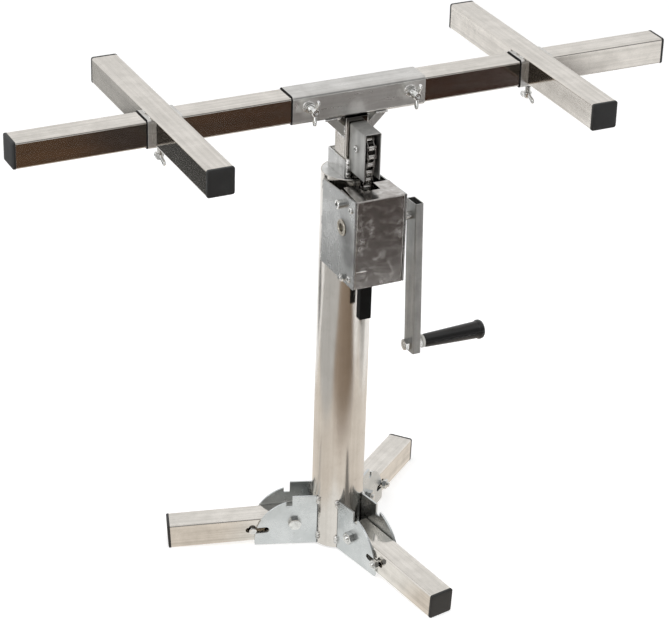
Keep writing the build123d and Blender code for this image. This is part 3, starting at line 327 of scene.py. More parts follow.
@dataclass(frozen=True)
class Metal:
    """A bare or plated metal with grain, streaks, clouds, stains, scratches, a painted highlight on its edges
    and painted shade in places.

    Patterns are in cycles per metre and places in millimetres. A mark whose size is 0 is left out.
    """

    name: str
    dark: Colour
    light: Colour
    rough: Pair
    grain: Point = (14.0, 450.0, 450.0)
    grain_depth: float = 0.08
    streak: Point = (2.2, 120.0, 120.0)
    cloud: float = 30.0
    cloud_share: float = 0.4
    stain: Colour = (0.10, 0.08, 0.06)
    stain_share: float = 0.12
    scratch: float = 0.0
    blotch: float = 0.0
    # Half width of a square tube whose long edges get a painted highlight
    highlight_half: float = 0.0
    # Places of halos: pale heat marks round welds, painted shade where the colour is dark
    heat_and_shade: tuple[Point, ...] = ()
    halo_reach: float = 17.0
    halo_colour: Colour = (0.74, 0.73, 0.70)
    # Where painted shade on a piece's top is full, along its length in millimetres, and how far below that it
    # fades
    shade_top: float = 0.0
    shade_fade: float = 14.0
    core_half: float = 0.0
    core_fade: float = 0.2
    # Radius of an upright tube round which a line of painted shade darkens the plates' root
    root_shade_r: float = 0.0

    def material(self, lie: Lie = Along.X.value, tag: str = "") -> bpy.types.Material:
        """Build the finish.

        Args:
            lie: how the piece lies, which the grain follows.
            tag: added to the material's name.

        Returns:
            The material.
        """
        made, sheet = new_material(self.name + tag)
        place = sheet.local(lie)
        grain = sheet.noise(place, self.grain, detail=2.0, rough=0.5)
        streak = sheet.noise(place, self.streak, detail=4.0, rough=0.65)
        cloud = sheet.noise(place, even(self.cloud), detail=5.0, rough=0.65)
        stain = sheet.noise(place, even(self.cloud * STAIN_FINENESS), detail=6.0, rough=0.7)
        stain = stain.step(0.55, 0.78)
        tone = (streak * (1.0 - self.cloud_share) + cloud * self.cloud_share).step(0.28, 0.72)
        low, high = self.rough
        rough = low + (high - low) * (grain * 0.4 + (1.0 - tone) * 0.4 + stain * 0.2)
        if self.blotch:
            bloom = self._bloom(sheet, place)
            tone = tone * (1.0 - BLOOM_SHARE) + bloom * BLOOM_SHARE
            rough = rough + bloom * (high - low) * BLOOM_ROUGH
        colour = sheet.mix(tone, self.dark, self.light)
        colour = sheet.tinted(colour, stain, Tint(self.stain, self.stain_share))
        if self.scratch:
            mark = self._scratch(sheet, place, cloud) * self.scratch
            colour = sheet.mix(mark, colour, SCRATCH_PALE)
            rough = rough + mark * SCRATCH_ROUGH
        # Halos: heat marks when pale, painted shade when dark
        if self.heat_and_shade:
            glow = self._halos(sheet)
            colour = sheet.tinted(colour, glow, Tint(self.halo_colour, HALO_SHARE))
            rough = rough + glow * HALO_ROUGH
        if self.core_half:
            across = abs(sheet.parts(sheet.object_place())[0])
            flank = across.step(self.core_half * MM, (self.core_half + self.core_fade) * MM)
            colour = sheet.tinted(colour, flank, OILED)
        # Painted shade: a dark line along a plate's root against the mast
        if self.root_shade_r:
            colour = sheet.tinted(colour, self._root_shade(sheet), ROOT_SHADE)
        # Painted shade darkening the top of the piece
        if self.shade_top:
            top_shade = sheet.parts(place)[0].step((self.shade_top - self.shade_fade) * MM, self.shade_top * MM)
            colour = sheet.tinted(colour, top_shade, UNDER_SLEEVE_SHADE)
        # Painted highlight along a square tube's long edges
        if self.highlight_half:
            colour = sheet.tinted(colour, self._edge_highlight(sheet, place), EDGE_HIGHLIGHT)
        inputs = {
            "Base Color": colour,
            "Metallic": 1.0,
            "Roughness": rough,
            "Normal": sheet.bump(self.grain_depth, grain * 0.6 + streak * 0.4),
        }
        sheet.surface(sheet.node("ShaderNodeBsdfPrincipled", {}, inputs))
        return made

    def _bloom(self, sheet: Sheet, place: Value) -> Value:
        """Cloudy pale blooms of a galvanised sheet.

        Args:
            sheet: the material's nodes.
            place: coordinates on the piece.

        Returns:
            How strongly the bloom shows, from 0 to 1.
        """
        size = self.blotch
        inputs = {"Vector": place, "Scale": 1.6 * size, "Detail": 3.0}
        warp = sheet.node("ShaderNodeTexNoise", {}, inputs, 1)
        shift = sheet.vector("MULTIPLY_ADD", warp, even(14.0 * MM), place)
        wide = sheet.noise(shift, (size, size, 0.5 * size), 3.0, 0.6).step(0.38, 0.68)
        puff = sheet.noise(shift, (3.0 * size, 3.0 * size, 4.0 * size), 3.0, 0.55).step(0.45, 0.70)
        broken = sheet.noise(shift, even(3.3 * size), 2.0, 0.5).step(0.38, 0.58)
        stroke = abs(sheet.noise(shift, even(2.3 * size), 2.0, 0.5) - 0.5).step(0.10, 0.0) * broken
        return wide * 0.08 + puff * (0.22 + 0.18 * wide) + stroke * (0.36 + 0.24 * wide)

    def _scratch(self, sheet: Sheet, place: Value, cloud: Value) -> Value:
        """Thin scratches along and across the piece, in places.

        Args:
            sheet: the material's nodes.
            place: coordinates on the piece.
            cloud: noise that says where the scratches lie.

        Returns:
            The mask of the scratches.
        """
        lengthwise = abs(sheet.noise(place, (5.0, 210.0, 210.0), 2.0) - 0.5).step(0.012, 0.002)
        crosswise = abs(sheet.noise(place, (150.0, 11.0, 11.0), 2.0) - 0.47).step(0.008, 0.001)
        return lengthwise * cloud.step(0.42, 0.60) * 0.6 + crosswise * cloud.step(0.55, 0.68)

    def _halos(self, sheet: Sheet) -> Value:
        """Halos round the given places: heat marks where their colour is pale, painted shade where it is
        dark.

        Args:
            sheet: the material's nodes.

        Returns:
            The mask of the halos.
        """
        place = sheet.object_place()
        ragged = sheet.noise(place, even(160.0), 3.0) * (10.0 * MM)
        near = self.halo_reach * 0.5 * MM
        far = self.halo_reach * 1.4 * MM
        glow: Value | None = None
        for centre in self.heat_and_shade:
            apart = sheet.vector("SUBTRACT", place, [v * MM for v in centre])
            halo = 1.0 - (sheet.length(apart) + ragged).step(near, far)
            glow = halo if glow is None else glow.most(halo)
        return glow

    def _root_shade(self, sheet: Sheet) -> Value:
        """Painted shade along the root of a plate against an upright tube.

        Args:
            sheet: the material's nodes.

        Returns:
            The mask of the painted shade.
        """
        level = sheet.vector("MULTIPLY", sheet.object_place(), (1.0, 1.0, 0.0))
        return 1.0 - sheet.length(level).step((self.root_shade_r + 0.8) * MM, (self.root_shade_r + 1.8) * MM)

    def _edge_highlight(self, sheet: Sheet, place: Value) -> Value:
        """Long edges of a square tube, lightened as a painted highlight.

        Args:
            sheet: the material's nodes.
            place: coordinates along the tube.

        Returns:
            The mask of the painted highlight.
        """
        _, across, up = sheet.parts(place)
        half = self.highlight_half * MM
        return abs(across).least(abs(up)).step(half - 3.5 * MM, half - 0.8 * MM)


@dataclass(frozen=True)
class Polymer:
    """A moulded plastic or rubber with a fine skin and scuffs, in cycles per metre."""

    name: str
    colour: Colour
    worn: Colour
    rough: Pair
    skin: float = 1800.0
    skin_depth: float = 0.12
    patch: float = 45.0
    specular: float = 0.5

    def material(self) -> bpy.types.Material:
        """Build the finish.

        Returns:
            The material.
        """
        made, sheet = new_material(self.name)
        place = sheet.object_place()
        skin = sheet.noise(place, even(self.skin), detail=3.0, rough=0.6)
        patch = sheet.noise(place, even(self.patch), detail=5.0, rough=0.65)
        fine = self.patch * 9.0
        scuff = sheet.noise(place, (fine, fine, self.patch * 2.0), detail=6.0, rough=0.75)
        wear = scuff.step(0.62, 0.80) * 0.5 + patch.step(0.45, 0.8) * 0.5
        low, high = self.rough
        inputs = {
            "Base Color": sheet.mix(wear, self.colour, self.worn),
            "Roughness": low + (high - low) * (patch * 0.6 + skin * 0.4),
            "Normal": sheet.bump(self.skin_depth, skin),
            "Specular IOR Level": self.specular,
        }
        sheet.surface(sheet.node("ShaderNodeBsdfPrincipled", {}, inputs))
        return made


# Square tubes get a painted highlight along their long edges
TUBE_STEEL = Metal(
    "satin_tube", dark=(0.50, 0.475, 0.435), light=(0.74, 0.70, 0.65), rough=(0.07, 0.17),
    grain_depth=0.04, scratch=0.4, highlight_half=TUBE_HALF,
)
LEG_STEEL = replace(TUBE_STEEL, name="leg_tube", dark=(0.54, 0.515, 0.475), light=(0.80, 0.765, 0.715))
# Painted shade darkens the lifting tube's top under the beam sleeve; a painted highlight lightens its long
# edges
LIFT_STEEL = replace(TUBE_STEEL, name="lift_tube", highlight_half=17.5, shade_top=690.0)
MAST_STEEL = Metal(
    "polished_mast", dark=(0.60, 0.57, 0.53), light=(0.73, 0.70, 0.66), rough=(0.13, 0.24),
    streak=(1.2, 80.0, 80.0), grain_depth=0.04,
)
SLEEVE_STEEL = Metal(
    "dull_sleeve", dark=(0.45, 0.44, 0.42), light=(0.70, 0.69, 0.67), rough=(0.22, 0.42), cloud_share=0.5
)
GUIDE_STEEL = Metal(
    "guide_steel", dark=(0.50, 0.50, 0.49), light=(0.72, 0.72, 0.71), rough=(0.22, 0.40), cloud_share=0.5
)
ARM_STEEL = Metal(
    "crank_steel", dark=(0.30, 0.30, 0.295), light=(0.50, 0.50, 0.485), rough=(0.38, 0.55), cloud_share=0.5
)
BOX_STEEL = replace(ARM_STEEL, name="box_steel", dark=(0.42, 0.42, 0.41), light=(0.64, 0.64, 0.62))
# The fan plates carry a line of painted shade where they meet the mast
FAN_ZINC = Metal(
    "pale_zinc", dark=(0.52, 0.545, 0.55), light=(0.68, 0.70, 0.705), rough=(0.20, 0.40),
    streak=even(24.0), cloud_share=0.6, stain_share=0.2, root_shade_r=MAST_R,
)
# The dark halos on the left winch plate are painted shade
PLATE_ZINC = Metal(
    "satin_zinc", dark=(0.38, 0.385, 0.38), light=(0.58, 0.585, 0.58), rough=(0.20, 0.38),
    streak=(18.0, 18.0, 60.0), stain_share=0.2,
    heat_and_shade=((-39.5, -88.0, 515.0), (-39.5, -80.0, 545.0)), halo_reach=26.0, halo_colour=(0.08, 0.08, 0.078),
)
COVER_ZINC = Metal(
    "galvanised", dark=(0.34, 0.315, 0.295), light=(0.80, 0.79, 0.77), rough=(0.14, 0.26),
    streak=even(30.0), blotch=21.0, stain_share=0.2,
)
BOLT_ZINC = Metal(
    "bright_zinc", dark=(0.42, 0.42, 0.41), light=(0.88, 0.88, 0.86), rough=(0.07, 0.18),
    streak=even(90.0), stain_share=0.2,
)
WELD_STEEL = Metal(
    "weld_bead", dark=(0.34, 0.335, 0.325), light=(0.96, 0.95, 0.93), rough=(0.10, 0.24),
    streak=even(280.0), cloud=90.0,
)
CHAIN_STEEL = Metal(
    "oiled_chain", dark=(0.50, 0.48, 0.46), light=(0.95, 0.93, 0.90), rough=(0.12, 0.30),
    streak=even(150.0), stain_share=0.25, core_half=3.9,
)
SPROCKET_STEEL = replace(
    CHAIN_STEEL, name="dark_sprocket", dark=(0.02, 0.019, 0.018), light=(0.07, 0.066, 0.062), core_half=0.0
)
SHAFT_STEEL = Metal(
    "bright_shaft", dark=(0.50, 0.49, 0.47), light=(0.74, 0.73, 0.71), rough=(0.14, 0.30), streak=even(90.0)
)
BRONZE = Metal(
    "bush_ring", dark=(0.34, 0.31, 0.26), light=(0.60, 0.57, 0.50), rough=(0.20, 0.40), streak=even(90.0)
)
CAP_BLACK = Polymer("black_cap", colour=even(0.014), worn=(0.030, 0.030, 0.029), rough=(0.40, 0.58))
# Black for the rims that stand in as painted shade at the sleeves' left ends
SHADE_RIM_BLACK = Polymer("black_liner", colour=even(0.004), worn=even(0.008), rough=(0.45, 0.65), specular=0.15)
GRIP_BLACK = Polymer("gloss_grip", colour=even(0.008), worn=even(0.016), rough=(0.18, 0.32), specular=0.45)
SLEEVE_BLACK = Polymer("soft_sleeve", colour=even(0.003), worn=even(0.010), rough=(0.50, 0.70), specular=0.15)
NYLON = Polymer("white_nylon", colour=(0.74, 0.73, 0.69), worn=(0.62, 0.60, 0.55), rough=(0.35, 0.55))


# Forms


@dataclass
class Form:
    """Points in millimetres and the faces between them."""

    points: list[Vector] = field(default_factory=list)
    faces: list[tuple[int, ...]] = field(default_factory=list)

    def add(self, other: "Form", place: Matrix = Matrix()) -> "Form":
        """Take in another form.

        Args:
            other: the form.
            place: where it goes.

        Returns:
            This form, with the other in it.
        """
        start = len(self.points)
        self.points += [place @ point for point in other.points]
        self.faces += [tuple(start + index for index in face) for face in other.faces]
        return self

    def mesh(self, name: str) -> bpy.types.Mesh:
        """Make a mesh in metres, with its faces turned outwards.

        Args:
            name: the mesh's name.

        Returns:
            The mesh.
        """
        made = bpy.data.meshes.new(name)
        made.from_pydata([point * MM for point in self.points], [], self.faces)
        with_bmesh(made, lambda work: bmesh.ops.recalc_face_normals(work, faces=work.faces))
        return smoothed(made)


def with_bmesh(mesh: bpy.types.Mesh, change: Callable[[bmesh.types.BMesh], Any]) -> None:
    """Change a mesh through bmesh.

    Args:
        mesh: the mesh.
        change: what is done to it.
    """
    work = bmesh.new()
    work.from_mesh(mesh)
    change(work)
    work.to_mesh(mesh)
    work.free()


def smoothed(mesh: bpy.types.Mesh, sharp: float = SHARP_TURN) -> bpy.types.Mesh:
    """Shade a mesh smooth.

    Args:
        mesh: the mesh.
        sharp: edges that turn by more degrees than this stay sharp.

    Returns:
        The same mesh.
    """
    mesh.shade_smooth()
    mesh.set_sharp_from_angle(angle=math.radians(sharp))
    return mesh


def ring(reach: Reach, z: float, sides: int = 48) -> Ring:
    """Points round the z axis.

    Args:
        reach: radius, or a function that gives it for an angle.
        z: height.
        sides: number of points.

    Returns:
        The points, in order.
    """
    angles = [2.0 * math.pi * i / sides for i in range(sides)]
    radii = [reach(angle) if callable(reach) else reach for angle in angles]
    return [Vector((r * math.cos(a), r * math.sin(a), z)) for r, a in zip(radii, angles)]


def hexagon(across: float) -> Callable[[float], float]:
    """Reach of a hexagon with a given size across its flats."""
    return lambda angle: across / 2.0 / math.cos(angle % (math.pi / 3.0) - math.pi / 6.0)


def cross(length: float, width: float) -> Callable[[float], float]:
    """Reach of a cross-shaped recess.

    Args:
        length: size of the cross from tip to tip.
        width: width of its arms.

    Returns:
        The radius as a function of the angle.
    """

    def reach(angle: float) -> float:
        """Radius at an angle."""
        off = (angle + math.pi / 4.0) % (math.pi / 2.0) - math.pi / 4.0
        return min(length / 2.0 / math.cos(off), width / 2.0 / max(abs(math.sin(off)), 0.001))

    return reach


def square(half: float, corner: float, z: float, steps: int = 6) -> Ring:
    """Points of a square with rounded corners round the z axis.

    Args:
        half: half its side.
        corner: radius of its corners.
        z: height.
        steps: number of steps round each corner.

    Returns:
        The points, in order.
    """
    points = []
    inset = half - corner
    for quarter in range(4):
        middle = math.pi * (0.25 + 0.5 * quarter)
        centre = Vector((math.copysign(inset, math.cos(middle)), math.copysign(inset, math.sin(middle)), z))
        for step in range(steps + 1):
            angle = math.pi / 2.0 * (quarter + step / steps)
            points.append(centre + Vector((corner * math.cos(angle), corner * math.sin(angle), 0.0)))
    return points


def loft(rings: Sequence[Ring], loop: bool = False) -> Form:
    """Skin over rings of equally many points.

    Args:
        rings: the rings, in order.
        loop: whether the last ring joins the first; otherwise both ends are closed.

    Returns:
        The closed form.
    """
    sides = len(rings[0])
    last = len(rings) - 1
    form = Form([point for each in rings for point in each])
    pairs = [(i, i + 1) for i in range(last)]
    if loop:
        pairs.append((last, 0))
    else:
        form.faces.append(tuple(range(sides)))
        form.faces.append(tuple(last * sides + i for i in range(sides)))
    for low, high in pairs:
        for i in range(sides):
            j = (i + 1) % sides
            form.faces.append((low * sides + i, low * sides + j, high * sides + j, high * sides + i))
    return form


def turned(profile: Iterable[Pair], sides: int = 48, loop: bool = False) -> Form:
    """Form turned round the z axis from a profile of (radius, height)."""
    return loft([ring(radius, z, sides) for radius, z in profile], loop)


def eased(radius: float, low: float, high: float, ease: Pair) -> list[Pair]:
    """Profile of a round wall whose two rims are eased.

    Args:
        radius: the wall's radius.
        low: where it starts.
        high: where it ends, below low for an inner wall.
        ease: how far a rim is drawn in, and how far along the wall; negative for an inner wall.

    Returns:
        The profile's four points.
    """
    inward, along = ease
    return [(radius - inward, low), (radius, low + along), (radius, high - along), (radius - inward, high)]


# A thread's points round its axis, rings in one turn and depth as a share of its pitch
THREAD_SIDES = 24
THREAD_RINGS = 6
THREAD_DEPTH = 0.55


def thread(radius: float, low: float, high: float, pitch: float) -> Form:
    """Threaded rod with a chamfered upper end.

    Args:
        radius: outer radius.
        low: where it starts.
        high: where it ends.
        pitch: rise in one turn.

    Returns:
        The rod.
    """
    depth = THREAD_DEPTH * pitch
    steps = max(2, round((high - low) / pitch * THREAD_RINGS))
    rings = []
    for step in range(steps + 1):
        z = low + (high - low) * step / steps
        limit = radius - depth + (high - z)

        def reach(angle: float) -> float:
            """Radius at an angle, from crest to root and back within one pitch."""
            phase = (z / pitch - angle / (2.0 * math.pi)) % 1.0
            return min(radius - depth * abs(2.0 * phase - 1.0), limit)

        rings.append(ring(reach, z, THREAD_SIDES))
    return loft(rings)


def placed(origin: Point, facing: Point, along: Point) -> Matrix:
    """Matrix that sets a form in its place.

    Args:
        origin: where the form's origin goes, in millimetres.
        facing: where its z points.
        along: where its x points.

    Returns:
        The matrix.
    """
    z = Vector(facing).normalized()
    x = Vector(along).normalized()
    return Matrix.Translation(origin) @ Matrix((x, z.cross(x), z)).transposed().to_4x4()


def sideways(sign: int) -> Point:
    """Direction to the left for -1 and to the right for 1."""
    return (float(sign), 0.0, 0.0)


# Fasteners


CROWN_SHARE = 0.48
CROWN_SLOPE = math.tan(math.radians(30.0))
NUT_SINK = 0.7
SHANK_SHARE = 0.97


def cut_corners(across: float, z: float, inward: int) -> Ring:
    """Edge of a hexagon whose corners a cone has taken off.

    Args:
        across: size across the flats.
        z: height of the hexagon's end.
        inward: 1 or -1, the way along z into the metal.

    Returns:
        The edge's points.
    """
    points = ring(hexagon(across), z)
    for point in points:
        point.z += inward * CROWN_SLOPE * max(0.0, point.xy.length - CROWN_SHARE * across)
    return points


def nut(across: float, height: float, bore: float) -> Form:
    """Hexagon nut from z = 0 upwards, chamfered at both ends and countersunk.

    Args:
        across: size across the flats.
        height: its height.
        bore: radius of its hole.

    Returns:
        The nut.
    """
    crown = CROWN_SHARE * across
    wide = bore + NUT_SINK
    below = [ring(wide, 0.0), ring(crown, 0.0), cut_corners(across, 0.0, 1)]
    above = [cut_corners(across, height, -1), ring(crown, height), ring(wide, height)]
    hole = [ring(bore, height - NUT_SINK), ring(bore, NUT_SINK)]
    return loft(below + above + hole, loop=True)


class Head(Enum):
    """Kinds of bolt head."""

    HEX = "hex"
    ROUND = "round"
    SOCKET = "socket"
    PAN = "pan"


@dataclass(frozen=True)
class Bolt:
    """Bolt along z: head below zero, shank above it, and a nut seated where the grip ends."""

    head: Head
    radius: float
    across: float
    height: float
    grip: float
    nut_across: float = 0.0
    nut_height: float = 0.0
    tail: float = 3.0
    pitch: float = 1.25

    def form(self) -> Form:
        """Put head, shank, thread and nut together.

        Returns:
            The whole fastener.
        """
        made = self._head()
        end = self.grip + self.nut_height + self.tail
        start = min(self.grip - 2.0 * self.pitch, end - 3.0 * self.pitch)
        shank = self.radius * SHANK_SHARE
        made.add(turned([(shank, -0.3 * self.height), (shank, start + self.pitch)], THREAD_SIDES))
        made.add(thread(self.radius, start, end, self.pitch))
        if self.nut_across:
            seat = Matrix.Translation((0.0, 0.0, self.grip))
            made.add(nut(self.nut_across, self.nut_height, shank), seat)
        return made

    def _head(self) -> Form:
        """Make the head alone.

        Returns:
            The head, from z = 0 downwards.
        """
        radius = self.across / 2.0
        top = -self.height
        if self.head is Head.HEX:
            crown = CROWN_SHARE * self.across
            sides = [ring(hexagon(self.across), 0.0), cut_corners(self.across, top, 1)]
            return loft(sides + [ring(crown, top), ring(crown * 0.55, top + 0.35)])
        if self.head is Head.SOCKET:
            key = hexagon(0.92 * radius)
            sides = [ring(radius, 0.0), ring(radius, top + 0.7), ring(radius - 0.7, top)]
            return loft(sides + [ring(0.62 * radius, top), ring(key, top + 0.3), ring(key, top / 2.0)])
        shares = ((1.0, 0.0), (1.0, 0.35), (0.9, 0.75), (0.66, 0.96))
        sides = [ring(share * radius, rise * top) for share, rise in shares]
        if self.head is Head.ROUND:
            return loft(sides + [ring(0.3 * radius, top), ring(0.05 * radius, 1.01 * top)])
        recess = cross(1.15 * radius, 0.32 * radius)
        return loft(sides + [ring(recess, top), ring(recess, 0.35 * top)])


@dataclass(frozen=True)
class WingBolt:
    """Forged wing bolt: its hub from z = 0 upwards, two ears along x and a threaded shank below.

    The tip and the root of an ear are given by x, z and radius.
    """

    hub_r: float = 6.5
    hub_height: float = 9.0
    tip: Point = (14.0, 9.0, 4.6)
    root: Point = (4.0, 4.5, 4.0)
    ear_half: float = 2.4
    shank_r: float = 4.0
    shank: float = 17.9
    sunk: float = 2.0
    pitch: float = 1.25
    voxel: float = 0.45

    def mesh(self) -> bpy.types.Mesh:
        """Make the whole bolt.

        Returns:
            Its mesh.
        """
        body = self._hub().add(self._ear(1)).add(self._ear(-1))
        forged = remeshed(body.mesh("wing_body"), self.voxel, smoothing=3)
        rod = thread(self.shank_r, 0.0, self.shank + self.sunk, self.pitch)
        flip = Matrix.Translation((0.0, 0.0, self.sunk)) @ Matrix.Rotation(math.pi, 4, "X")
        return joined("wing_bolt", [forged, Form().add(rod, flip).mesh("wing_shank")])

    def _hub(self) -> Form:
        """Make the tapered hub with its punched end.

        Returns:
            The hub.
        """
        r, top = self.hub_r, self.hub_height
        dish = 0.42 * r
        side = [(0.9 * r, 0.0), (r, 0.8), (0.9 * r, 0.7 * top), (0.76 * r, top)]
        return turned([*side, (dish, top), (dish * 0.9, top - 1.6)])

    def _ear(self, sign: int) -> Form:
        """Make one ear, from inside the hub out to its rounded tip.

        Args:
            sign: -1 or 1, the way along x.

        Returns:
            The ear.
        """
        root_x, root_z, root_r = self.root
        tip_x, tip_z, tip_r = self.tip
        start = Vector((sign * root_x, 0.0, root_z))
        end = Vector((sign * tip_x, 0.0, tip_z))
        out = (end - start).normalized()
        side = Vector((-out.z, 0.0, out.x))
        stations = []
        for share in (0.0, 0.3, 0.6, 1.0):
            width = root_r + (tip_r - root_r) * share - 0.5 * math.sin(math.pi * share)
            stations.append((start.lerp(end, share), width, 1.0))
        for share in (0.45, 0.75, 0.93):
            width = tip_r * math.sqrt(1.0 - share**2)
            stations.append((end + out * tip_r * share, width, 1.0 - 0.45 * share**2))
        rings = []
        for centre, width, thick in stations:
            half = self.ear_half * thick
            points = ring(1.0, 0.0, 24)
            rings.append([centre + side * width * p.x + Vector((0.0, half * p.y, 0.0)) for p in points])
        return loft(rings)


@dataclass(frozen=True)
class TubeCap:
    """Moulded cap for a square tube that ends at z = 0: a crowned lip and a hollow plug."""

    half: float = 19.3
    corner: float = 3.3
    lip: float = 4.0
    round: float = 1.6
    crown: float = 0.12
    plug_half: float = 17.2
    plug: float = 12.0
    plug_corner: float = 2.0
    plug_taper: float = 0.3
    wall: float = 2.0
    hollow_corner: float = 1.0
    overlap: float = 0.5

    def form(self) -> Form:
        """Make lip and plug together.

        Returns:
            The cap.
        """
        rings = [square(self.half, self.corner, z) for z in (0.0, self.lip - self.round)]
        for angle in (22.5, 45.0, 67.5, 90.0):
            turn = math.radians(angle)
            inset = self.round * (1.0 - math.cos(turn))
            z = self.lip - self.round * (1.0 - math.sin(turn))
            rings.append(square(self.half - inset, self.corner - 0.5 * inset, z))
        rings.append(square(0.6 * self.half, self.corner, self.lip + self.crown))
        inner = self.plug_half - self.wall
        sides = [
            square(self.plug_half, self.plug_corner, self.overlap),
            square(self.plug_half - self.plug_taper, self.plug_corner, -self.plug),
            square(inner, self.hollow_corner, -self.plug),
            square(inner, self.hollow_corner, self.overlap),
        ]
        return loft(rings).add(loft(sides, loop=True))


@dataclass(frozen=True)
class ShadeRim:
    """Black rim in a square sleeve that ends at z = 0, standing a little proud of it: painted shade in the
    gap between sleeve and beam.
    """

    inner: float = 19.15
    outer: float = 21.1
    proud: float = 1.2
    corner: float = 3.2

    def form(self) -> Form:
        """Make a square ring with an eased outer edge.

        Returns:
            The rim.
        """
        wall = self.outer - self.inner
        ease = 0.4 * wall
        corner = self.corner + wall
        rings = [
            square(self.inner, self.corner, 0.0),
            square(self.outer, corner, 0.0),
            square(self.outer, corner, self.proud - ease),
            square(self.outer - ease, corner - ease, self.proud),
            square(self.inner, self.corner, self.proud),
        ]
        return loft(rings, loop=True)


# Mesh tools


def linked(name: str, mesh: bpy.types.Mesh) -> bpy.types.Object:
    """Put a mesh into the scene.

    Args:
        name: the object's name.
        mesh: its mesh.

    Returns:
        The object.
    """
    made = bpy.data.objects.new(name, mesh)
    bpy.context.scene.collection.objects.link(made)
    return made


def evaluated(work: bpy.types.Object, name: str) -> bpy.types.Mesh:
    """Apply an object's modifiers and remove the object.

    Args:
        work: the object.
        name: the new mesh's name.

    Returns:
        The plain mesh.
    """
    graph = bpy.context.evaluated_depsgraph_get()
    graph.update()
    done = work.evaluated_get(graph)
    made = bpy.data.meshes.new_from_object(done, preserve_all_data_layers=True, depsgraph=graph)
    made.name = name
    bpy.data.objects.remove(work)
    return made


def cover_with_voxels(work: bpy.types.Object, voxel: float, smoothing: int) -> None:
    """Add the modifiers that make one closed skin over overlapping shells.

    Args:
        work: the object.
        voxel: the skin's voxel size, in millimetres.
        smoothing: how often the skin is relaxed.
    """
    skin = work.modifiers.new("skin", "REMESH")
    skin.mode = "VOXEL"
    skin.voxel_size = voxel * MM
    relax = work.modifiers.new("relax", "SMOOTH")
    relax.factor = 0.5
    relax.iterations = smoothing


def remeshed(mesh: bpy.types.Mesh, voxel: float, smoothing: int) -> bpy.types.Mesh:
    """Make one closed skin over a mesh of overlapping shells.

    Args:
        mesh: the shells.
        voxel: the skin's voxel size, in millimetres.
        smoothing: how often the skin is relaxed.

    Returns:
        The skin.
    """
    work = linked("remesh", mesh)
    cover_with_voxels(work, voxel, smoothing)
    return smoothed(evaluated(work, mesh.name), ALL_SMOOTH)


def joined(name: str, meshes: Iterable[bpy.types.Mesh]) -> bpy.types.Mesh:
    """Join meshes.

    Args:
        name: the new mesh's name.
        meshes: what is joined.

    Returns:
        The one mesh.
    """
    made = bpy.data.meshes.new(name)
    work = bmesh.new()
    for mesh in meshes:
        work.from_mesh(mesh)
    work.to_mesh(made)
    work.free()
    return smoothed(made)


class Tree:
    """A Geometry Nodes tree with named inputs, run on a mesh of points or edges."""

    def __init__(self, name: str, inputs: dict[str, str]) -> None:
        """Start a tree.

        Args:
            name: the tree's name.
            inputs: name and socket type of each input after the geometry.
        """
        tree = bpy.data.node_groups.new(name, "GeometryNodeTree")
        tree.interface.new_socket("Geometry", in_out="INPUT", socket_type="NodeSocketGeometry")
        self.sockets = {}
        for label, kind in inputs.items():
            socket = tree.interface.new_socket(label, in_out="INPUT", socket_type=kind)
            self.sockets[label] = socket.identifier
        tree.interface.new_socket("Geometry", in_out="OUTPUT", socket_type="NodeSocketGeometry")
        self.sheet = Sheet(tree)
        self.source = self.sheet.node("NodeGroupInput")

    def given(self, label: str) -> Value:
        """One of the tree's inputs."""
        return self.sheet.other(self.source, label)

    def close(self, instances: Value) -> None:
        """End the tree: make the copies real and give them their finish.

        Args:
            instances: the copies.
        """
        real = self.sheet.node("GeometryNodeRealizeInstances", {}, {"Geometry": instances})
        inputs = {"Geometry": real, "Material": self.given("Finish")}
        dressed = self.sheet.node("GeometryNodeSetMaterial", {}, inputs)
        self.sheet.node("NodeGroupOutput", {}, {"Geometry": dressed})

    def applied(self, mesh: bpy.types.Mesh, values: dict[str, Any]) -> bpy.types.Object:
        """Put the tree on a mesh.

        Args:
            mesh: the points or edges.
            values: what the tree's inputs are set to.

        Returns:
            The object with the tree on it.
        """
        work = linked("work", mesh)
        modifier = work.modifiers.new("tree", "NODES")
        modifier.node_group = self.sheet.tree
        for label, value in values.items():
            modifier[self.sockets[label]] = value
        return work


class Scatter(Tree):
    """Sets copies of a template on points, each with a turn of its own."""

    def __init__(self) -> None:
        """Build the tree."""
        super().__init__("scatter", {"Template": "NodeSocketObject", "Finish": "NodeSocketMaterial"})
        copy = self.sheet.node("GeometryNodeObjectInfo", {}, {"Object": self.given("Template")}, "Geometry")
        named = {"data_type": "FLOAT_VECTOR"}
        turn = self.sheet.node("GeometryNodeInputNamedAttribute", named, {"Name": "turn"})
        turn = self.sheet.node("FunctionNodeEulerToRotation", {}, {"Euler": turn})
        inputs = {"Points": self.given("Geometry"), "Instance": copy, "Rotation": turn}
        self.close(self.sheet.node("GeometryNodeInstanceOnPoints", {}, inputs))

    def run(
        self, name: str, template: bpy.types.Mesh, places: Sequence[Matrix], finish: bpy.types.Material
    ) -> bpy.types.Mesh:
        """Copies of a template at the given places, as one mesh.

        Args:
            name: the mesh's name.
            template: what is copied, at the origin.
            places: where each copy goes, in millimetres.
            finish: the copies' material.

        Returns:
            The mesh.
        """
        points = bpy.data.meshes.new(name)
        points.from_pydata([place.translation * MM for place in places], [], [])
        turns = points.attributes.new("turn", "FLOAT_VECTOR", "POINT")
        for slot, place in zip(turns.data, places):
            slot.vector = place.to_euler()
        holder = linked("template", template)
        made = evaluated(self.applied(points, {"Template": holder, "Finish": finish}), name)
        bpy.data.objects.remove(holder)
        return made


